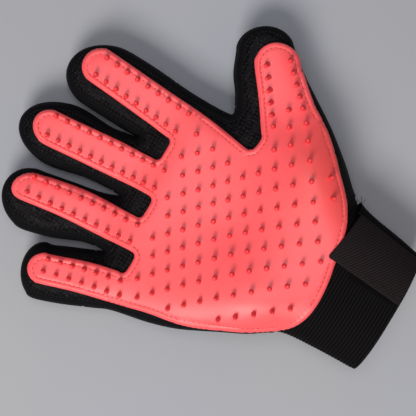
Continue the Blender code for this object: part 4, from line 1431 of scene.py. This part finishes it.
class Wrist:
    """Points round the wrist, read from a table: angle 0 at the thumb side, pi at the other."""

    def __init__(self, turns: int = 360, step: float = 2.0) -> None:
        """Measure the wrist's section at stations along it.

        Args:
            turns: Points round each section.
            step: Distance between sections.
        """
        self.stations = np.arange(-4.0, 58.0, step)
        self.angles = np.linspace(0.0, 2.0 * math.pi, turns, endpoint=False)
        sides = np.array([self.side_seams(y) for y in self.stations])
        self.low, self.high = sides[:, 0], sides[:, 1]
        spot = self.section(np.zeros(turns))
        tangent = self.section(np.full(turns, 0.02)) - self.section(np.full(turns, -0.02))
        tangent /= np.linalg.norm(tangent, axis=2)[..., None]
        outward = np.dstack([tangent[..., 1], -tangent[..., 0]])
        self.table = np.dstack([spot, outward])

    @staticmethod
    def side_seams(y: float) -> tuple[float, float]:
        """Where the side seams stand at a station."""
        outline = PILLOW.outline
        after = np.roll(outline, -1, 0)
        crossing = (outline[:, 1] - y) * (after[:, 1] - y) <= 0.0
        a, b = outline[crossing], after[crossing]
        rise = np.where(b[:, 1] == a[:, 1], 1.0, b[:, 1] - a[:, 1])
        x = a[:, 0] + (y - a[:, 1]) / rise * (b[:, 0] - a[:, 0])
        return float(x.min()), float(x.max())

    def section(self, shift: np.ndarray) -> np.ndarray:
        """X and Z of every station's section, with the angles moved by a shift."""
        rows = []
        for y, low, high in zip(self.stations, self.low, self.high):
            turn = self.angles + shift
            x = (low + high) / 2.0 + (high - low) / 2.0 * 0.9995 * np.cos(turn)
            palm, back = PILLOW.heights(np.column_stack([x, np.full(len(x), y)]))
            z = np.where(np.sin(turn) >= 0.0, palm - SEAM_GAP / 2.0, back + SEAM_GAP / 2.0)
            rows.append(np.column_stack([x, z]))
        return np.array(rows)

    def angle_at(self, x: np.ndarray, y: np.ndarray) -> np.ndarray:
        """Angle round the palm side of a point at x."""
        low, high = np.interp(y, self.stations, self.low), np.interp(y, self.stations, self.high)
        return np.arccos(np.clip((2.0 * x - low - high) / (high - low), -1.0, 1.0))

    def read(self, turn: np.ndarray, y: np.ndarray) -> np.ndarray:
        """X, Z and outward direction at an angle and a station, by bilinear interpolation."""
        row = np.clip((y - self.stations[0]) / (self.stations[1] - self.stations[0]),
                      0.0, len(self.stations) - 1.001)
        column = (turn / (2.0 * math.pi) * len(self.angles)) % len(self.angles)
        r, c = row.astype(int), column.astype(int)
        u, v = (row - r)[:, None], (column - c)[:, None]
        n = (c + 1) % len(self.angles)
        return (self.table[r, c] * (1 - u) * (1 - v) + self.table[r, n] * (1 - u) * v
                + self.table[r + 1, c] * u * (1 - v) + self.table[r + 1, n] * u * v)

    def points(self, turn: np.ndarray, y: np.ndarray, offset: object) -> np.ndarray:
        """Pattern points at angles and stations, moved outwards by an offset."""
        at = self.read(turn, y)
        moved = at[:, :2] + at[:, 2:] * np.broadcast_to(offset, len(turn))[:, None]
        return np.column_stack([moved[:, 0], y, moved[:, 1]])

    def outward(self, turn: np.ndarray, y: np.ndarray) -> np.ndarray:
        """Outward directions at angles and stations."""
        at = self.read(turn, y)
        return np.column_stack([at[:, 2], np.zeros(len(turn)), at[:, 3]])


def grid_faces(rows: int, columns: int, closed: bool) -> np.ndarray:
    """Quads of a grid of points; closed joins the last column to the first."""
    across = np.arange(columns if closed else columns - 1)
    r, c = (g.ravel() for g in np.meshgrid(np.arange(rows - 1), across, indexing="ij"))
    n = (c + 1) % columns
    here, above = r * columns, (r + 1) * columns
    return np.column_stack([here + c, here + n, above + n, above + c])


@dataclass
class Cuff:
    """Ribbed elastic cuff, the tape inside its seam and the overlocked seam itself."""

    wrist: Wrist
    length: float = 48.2
    thickness: float = 1.6
    rib_pitch: float = 1.8
    rib_depth: float = 0.5
    sides: int = 150
    rows_per_rib: int = 7
    tape_gap: float = 1.0
    tape_thickness: float = 0.6
    tape_half: float = 3.5

    def tube(self, name: str, stations: np.ndarray, outer: np.ndarray, inner: np.ndarray,
             finish: bpy.types.Material) -> bpy.types.Object:
        """Closed tube round the wrist between two offsets.

        Args:
            name: The piece's name.
            stations: Y of each ring.
            outer: Outer offset of each ring.
            inner: Inner offset of each ring.
            finish: Its material.

        Returns:
            The tube, with marks for the rib tool.
        """
        turns = np.tile(np.linspace(0.0, 2.0 * math.pi, self.sides, endpoint=False), len(stations))
        y = np.repeat(stations, self.sides)
        faces = grid_faces(len(stations), self.sides, True)[:, ::-1]
        ribbed = smoothstep(0.0, 1.2, y - stations[0]) * smoothstep(0.0, 1.0, stations[-1] - y)
        return slab(name, self.wrist.points(turns, y, np.repeat(outer, self.sides)),
                    self.wrist.points(turns, y, np.repeat(inner, self.sides)), faces, [finish],
                    marks={"along": (y - stations[0]) * MM, "ribbed": ribbed})

    def build(self, ribs: GeometryTool, elastic: bpy.types.Material, tape: bpy.types.Material) -> None:
        """Make the cuff and the tape."""
        stations = np.linspace(0.0, self.length, int(self.length / self.rib_pitch * self.rows_per_rib))
        hem = 0.25 * (bell(stations, 1.6) + bell(stations - self.length, 1.6))
        tube = self.tube("cuff_blank", stations, -hem, hem - self.thickness, elastic)
        cuff = ribs.run(tube, "elastic_cuff_ribbed", elastic, Pitch=self.rib_pitch * MM,
                        Depth=self.rib_depth * MM)
        attach(cuff, HAND, "elastic_cuff", slot="ribbed_elastic")
        stations = np.linspace(WRIST_SEAM - self.tape_half, WRIST_SEAM + self.tape_half, 5)
        depth = np.full(5, self.thickness + self.tape_gap)
        ring = self.tube("seam_tape_ring", stations, -depth, -depth - self.tape_thickness, tape)
        attach(ring, HAND, "wrist_seam_tape", slot="seam_tape")

    def build_seam(self, piping: GeometryTool, stitches: GeometryTool, finish: bpy.types.Material,
                   thread: bpy.types.Material) -> None:
        """Overlocked ridge where the glove meets the cuff: a flat cord and slanting stitches."""
        turns = np.linspace(0.0, 2.0 * math.pi, 160, endpoint=False)
        palm_side = np.sin(turns) > 0.25
        y = np.full(160, WRIST_SEAM - 0.6)
        ridge = piping.run(strand(self.wrist.points(turns, y, np.where(palm_side, -0.9, -0.45)), True),
                           "wrist_seam_ridge", finish, Radius=0.95 * MM)
        attach(ridge, HAND, slot="stretch_knit")
        turns = np.linspace(math.pi * 1.02, math.pi * 1.98, 330)
        y = WRIST_SEAM - 0.6 + 1.3 * np.abs(((np.arange(330) / 3.0) % 2.0) - 1.0) - 0.65
        zigzag = self.wrist.points(turns, y, np.full(330, 0.42))
        lock = stitches.run(strand(zigzag), "wrist_overlock", thread,
                            Pitch=1.1 * MM, Length=1.2 * MM, Width=0.35 * MM)
        attach(lock, HAND, slot="stretch_knit")


@dataclass
class Closure:
    """Hook-and-loop strap: band round the side, twill tab, hook patch and loop patch."""

    wrist: Wrist
    tab_offset: float = 3.9
    tab_thickness: float = 1.3
    band_thickness: float = 1.2
    band_end_offset: float = 1.2
    band_step: float = 0.22
    band_turn: float = 0.62
    band_stitch_turn: float = 0.60
    loop_offset: float = 0.4
    hook_offset: float = 1.8
    patch_thickness: float = 0.9
    hem: float = 3.2
    hem_rise: float = 0.3
    corner: float = 1.1
    width: float = 25.0
    top_drop: float = 4.6
    edge: float = 0.55
    edge_reach: float = 0.9
    free_bottom: float = -31.5
    free_top: float = -28.2
    fine: float = 0.6
    patch_span: tuple[float, float] = (3.0, 31.0)
    loop_sides: tuple[float, float] = (-33.0, -8.0)
    hook_sides: tuple[float, float] = (-27.5, -11.5)
    tuft_turn: float = 0.2
    tuft_station: float = 43.4
    tuft_offset: float = 2.2
    tuft_ends: tuple = ((0.5, 4.2), (1.3, 3.2), (-0.2, 3.6))

    def sheet(self, name: str, turns: np.ndarray, y: np.ndarray, rows: int, low: np.ndarray,
              high: np.ndarray, finish: bpy.types.Material) -> bpy.types.Object:
        """Closed sheet on the wrist between two offsets, from a grid of angles and stations."""
        faces = grid_faces(rows, len(y) // rows, False)
        return slab(name, self.wrist.points(turns, y, high), self.wrist.points(turns, y, low), faces,
                    [finish])

    def free_edge(self, y: np.ndarray) -> np.ndarray:
        """X of the tab's free edge at a station."""
        lean = self.free_top - self.free_bottom
        return self.free_bottom + lean * (y - STRAP_BOTTOM) / (STRAP_TOP - STRAP_BOTTOM)

    def tab_grid(self) -> tuple[np.ndarray, np.ndarray, np.ndarray, int]:
        """Grid of the tab: angles, stations, distance from its border, and its rows."""
        across = np.linspace(0.0, 1.0, int(self.width / self.fine))
        up = np.linspace(0.0, 1.0, int((STRAP_TOP - STRAP_BOTTOM) / self.fine))
        u, v = (g.ravel() for g in np.meshgrid(across, up))
        width, height = self.width, STRAP_TOP - STRAP_BOTTOM
        pinch = self.corner * (1.0 - quarter_round(u * width / self.corner))
        bottom = STRAP_BOTTOM + pinch
        top = STRAP_TOP - self.top_drop * u - pinch
        y = bottom + v * (top - bottom)
        free = self.free_edge(y)
        x = free + u * (tab_edge(y) - free)
        distance = np.minimum.reduce([u * width, v * height, (1.0 - v) * height, (1.0 - u) * width + 1.2])
        return self.wrist.angle_at(x, y), y, distance, len(up)

    def build_tab(self, twill: bpy.types.Material, thread: bpy.types.Material,
                  stitches: GeometryTool) -> None:
        """Twill tab with a turned hem and its row of stitches."""
        turns, y, distance, rows = self.tab_grid()
        soft = self.edge * (1.0 - quarter_round(distance / self.edge_reach))
        hem = self.hem_rise * (1.0 - smoothstep(self.hem - 0.4, self.hem + 0.4, distance))
        stitch_dip = 0.22 * bell(distance - self.hem + 0.9, 0.5)
        droop = -0.45 * bell(distance, 3.0)
        low = self.tab_offset + soft * 0.8 + droop * 0.5
        high = self.tab_offset + self.tab_thickness - soft + hem - stitch_dip - 0.15
        tab = self.sheet("closure_tab_twill", turns, y, rows, low, high, twill)
        attach(tab, STRAP, "closure_tab", slot="twill_webbing")
        inset_line = self.hem - 0.9
        corners = np.array([(1.0, 0.0), (0.0, 0.0), (0.0, 1.0), (1.0, 1.0)])
        uv = np.vstack([np.linspace(start, end, 60) for start, end in zip(corners, corners[1:])])
        line_y = STRAP_BOTTOM + inset_line + uv[:, 1] * (STRAP_TOP - STRAP_BOTTOM - 2.0 * inset_line) \
            - self.top_drop * uv[:, 0] * uv[:, 1]
        free = self.free_edge(line_y) + inset_line
        line_x = free + uv[:, 0] * (tab_edge(line_y) - 1.5 - free)
        turn = self.wrist.angle_at(line_x, line_y)
        spot = self.wrist.points(turn, line_y, self.tab_offset + self.tab_thickness - 0.02)
        sewn = stitches.run(strand(spot), "closure_tab_stitches", thread, Pitch=2.6 * MM,
                            Length=1.9 * MM, Width=0.42 * MM)
        attach(sewn, STRAP, slot="twill_webbing")

    def build_band(self, elastic: bpy.types.Material, thread: bpy.types.Material,
                   stitches: GeometryTool) -> None:
        """Elastic band from the tab round the thumb side to the back of the wrist."""
        rows, columns = 80, 130
        stations = np.linspace(STRAP_BOTTOM, STRAP_TOP - 3.0, rows)
        y = np.repeat(stations, columns)
        share = np.tile(np.linspace(0.0, 1.0, columns), rows)
        start = self.wrist.angle_at(tab_edge(stations), stations)
        turns = np.repeat(start, columns) * (1.0 - share) - self.band_turn * math.pi * share
        drop = 1.0 - smoothstep(0.0, self.band_step, share)
        base = self.band_end_offset + (self.tab_offset - self.band_end_offset) * drop
        distance = np.minimum(y - stations[0], stations[-1] - y)
        soft = 0.35 * (1.0 - smoothstep(0.0, 1.0, distance))
        ribs = 0.10 * (np.abs(np.sin((y - stations[0]) * math.pi / 2.4)) - 0.5)
        faces = grid_faces(rows, columns, False)
        outer = self.wrist.points(turns, y, base + self.band_thickness - soft + ribs)
        inner = self.wrist.points(turns, y, base + soft * 0.5)
        band = slab("strap_band_elastic", outer, inner, faces, [elastic])
        attach(band, HAND, "strap_band", slot="plain_elastic")
        line = np.linspace(STRAP_BOTTOM + 1.5, STRAP_TOP - 4.0, 50)
        turn = np.full(50, -self.band_stitch_turn * math.pi)
        spot = self.wrist.points(turn, line, self.band_end_offset + self.band_thickness)
        sewn = stitches.run(strand(spot), "strap_band_stitches", thread, Pitch=2.6 * MM,
                            Length=1.9 * MM, Width=0.45 * MM)
        attach(sewn, HAND, slot="plain_elastic")

    def build_patch(self, body: str, node: str, x_range: tuple[float, float], offset: float,
                    finish: bpy.types.Material, tool: GeometryTool, upwards: bool) -> None:
        """Patch of the hook-and-loop closure, with its filaments.

        Args:
            body: The body it rides on.
            node: The CAD node it stands for, which is also its record slot's start.
            x_range: Lowest and highest X.
            offset: How far it lies off the wrist.
            finish: Its material.
            tool: Filament tool.
            upwards: True for loops on top, False for hooks underneath.
        """
        rows, columns = 40, 34
        y = np.repeat(np.linspace(*self.patch_span, rows), columns)
        x = np.tile(np.linspace(*x_range, columns), rows)
        turns = self.wrist.angle_at(x, y)
        slot = "loop_pile" if upwards else "hook_nylon"
        base = self.patch_thickness * 0.6
        low = offset if upwards else offset + self.patch_thickness - base
        sheet = self.sheet(node + "_tape", turns, y, rows, np.full(len(y), low),
                           np.full(len(y), low + base), finish)
        skip = 1 if upwards else 2
        place = np.arange(len(y)).reshape(rows, columns)[1:-1:skip, 1:-1:skip].ravel()
        axis = self.wrist.outward(turns[place], y[place]) * (1.0 if upwards else -1.0)
        root = self.wrist.points(turns[place], y[place], low + base - 0.1 if upwards else low + 0.1)
        sizes = {"Radius": 0.36 * MM, "Sweep": math.radians(220.0), "Filament": 0.05 * MM} if upwards else \
            {"Radius": 0.34 * MM, "Sweep": math.radians(250.0), "Filament": 0.09 * MM}
        fuzz = tool.run(spots(root, axis), node + "_filaments", finish, **sizes)
        for piece, nodes in ((sheet, (node,)), (fuzz, ())):
            if body == HAND:
                attach(piece, HAND, *nodes, slot=slot)
            else:
                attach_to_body(piece, STRAP)
                if nodes:
                    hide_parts(*nodes)

    def build_tuft(self, tool: GeometryTool, thread: bpy.types.Material) -> None:
        """Loose ends of thread at the corner of the band."""
        share = np.linspace(0.0, 1.0, 12)
        start = self.wrist.points(np.array([self.tuft_turn]), np.array([self.tuft_station]),
                                  self.tuft_offset)[0]
        for number, (lean, length) in enumerate(self.tuft_ends):
            path = start + np.column_stack([share * length * math.cos(lean), share * length * math.sin(lean),
                                            0.7 * np.sin(share * 3.0) + 0.3])
            end = tool.run(strand(path), f"thread_end_{number + 1}", thread, Radius=0.14 * MM, Sides=6.0)
            attach(end, HAND, slot="seam_tape")


# Studio

@dataclass
class Studio:
    """Pale floor, soft lights and a camera that looks straight down at the glove."""

    right: tuple[float, float] = (0.515, -0.857)
    up: tuple[float, float] = (0.857, 0.515)
    aim: tuple[float, float] = (-38.8, 113.9)
    distance: float = 0.6
    frame_width: float = 0.227
    frame_height: float = 0.026
    sensor: float = 36.0
    floor_half: float = 2.0
    floor_drop: float = 0.0004
    lights: tuple = (("window", (-0.9, -0.15, 1.15), 0.6, 20.0, "#FFFDF8"),
                     ("ceiling", (0.08, 0.07, 1.0), 0.4, 3.4, "#F8F8FC"))
    room_colour: str = "#E8ECF4"
    room_strength: float = 0.22

    def build_camera(self) -> None:
        """Point the camera straight down, turned so that the fingers point up and to the left."""
        data = bpy.data.cameras.new("camera")
        data.sensor_width = self.sensor
        data.lens = self.sensor * (self.distance - self.frame_height) / self.frame_width
        camera = bpy.data.objects.new("camera", data)
        x, y = FLAT.place(np.array([*self.aim, 0.0]))[:2]
        camera.matrix_world = Matrix(((self.right[0], self.up[0], 0.0, x),
                                      (self.right[1], self.up[1], 0.0, y),
                                      (0.0, 0.0, 1.0, self.distance), (0.0, 0.0, 0.0, 1.0)))
        bpy.context.scene.collection.objects.link(camera)
        bpy.context.scene.camera = camera

    def add_light(self, name: str, place: tuple[float, float, float], size: float, power: float,
                  colour: str) -> None:
        """Soft square light aimed at the glove."""
        data = bpy.data.lights.new(name, "AREA")
        data.size, data.energy, data.color = size, power, linear(colour)[:3]
        light = bpy.data.objects.new(name, data)
        light.location = place
        light.rotation_euler = (Vector((0.0, 0.0, 0.02)) - Vector(place)).to_track_quat("-Z", "Y").to_euler()
        bpy.context.scene.collection.objects.link(light)

    def build(self) -> None:
        """Make the floor, the lights and the camera."""
        mesh = bpy.data.meshes.new("floor")
        corners = [(x * self.floor_half, y * self.floor_half, -self.floor_drop)
                   for x, y in ((-1, -1), (1, -1), (1, 1), (-1, 1))]
        mesh.from_pydata(corners, [], [(0, 1, 2, 3)])
        mesh.materials.append(PaleBoard().make())
        link("floor", mesh)
        for light in self.lights:
            self.add_light(*light)
        world = bpy.data.worlds.new("soft_room")
        world.use_nodes = True
        room = world.node_tree.nodes["Background"].inputs
        room["Color"].default_value = linear(self.room_colour)
        room["Strength"].default_value = self.room_strength
        bpy.context.scene.world = world
        bpy.context.scene.view_settings.view_transform = "Standard"
        self.build_camera()


def main() -> None:
    """Build every sub-assembly in order, then the studio."""
    logging.basicConfig(level=logging.INFO, format="%(name)s: %(message)s")
    silicone = MouldedSilicone().make()
    shaded_pin_silicone = ShadedPinSilicone().make()
    coral_thread = Thread("polyester_thread_coral", "#C93F3E", "#8E2422").make()
    black_thread = Thread("polyester_thread_black", "#141214", "#070607").make()
    air_mesh, knit = AirMesh().make(), StretchKnit().make()
    elastic = WovenElastic().make()
    tape = WovenElastic("twill_tape_black", "#131115", "#050405", 1.0).make()
    twill = TwillWebbing().make()
    pile = PlainPile("napped_loop_pile_black", "#0E0C0E", 0.6, 0.95).make()
    hook_nylon = PlainPile("extruded_hook_nylon_black", "#141315", 0.9, 0.45).make()

    pins, stitches, piping, ribs, filaments = (
        build() for build in (pin_tool, stitch_tool, piping_tool, rib_tool, hook_tool))
    pattern = Pattern()
    pad = BrushPad(pattern)
    pad.build_slabs(silicone)
    pad.build_pins(pins, shaded_pin_silicone)
    pad.build_stitches(stitches, coral_thread)

    body = FabricBody(pattern)
    body.build_panel(Side.PALM, air_mesh, knit)
    body.build_panel(Side.BACK, air_mesh, knit)
    body.build_piping(piping, knit)
    body.build_seam(stitches, black_thread)

    wrist = Wrist()
    cuff = Cuff(wrist)
    cuff.build(ribs, RibbedElastic().make(), tape)
    cuff.build_seam(piping, stitches, knit, black_thread)
    closure = Closure(wrist)
    closure.build_tab(twill, black_thread, stitches)
    closure.build_band(elastic, black_thread, stitches)
    closure.build_patch(HAND, "loop_patch", closure.loop_sides, closure.loop_offset, pile, filaments, True)
    closure.build_patch(STRAP, "hook_patch", closure.hook_sides, closure.hook_offset, hook_nylon, filaments,
                        False)
    closure.build_tuft(piping, black_thread)

    Studio().build()


if __name__ == "__main__":
    main()
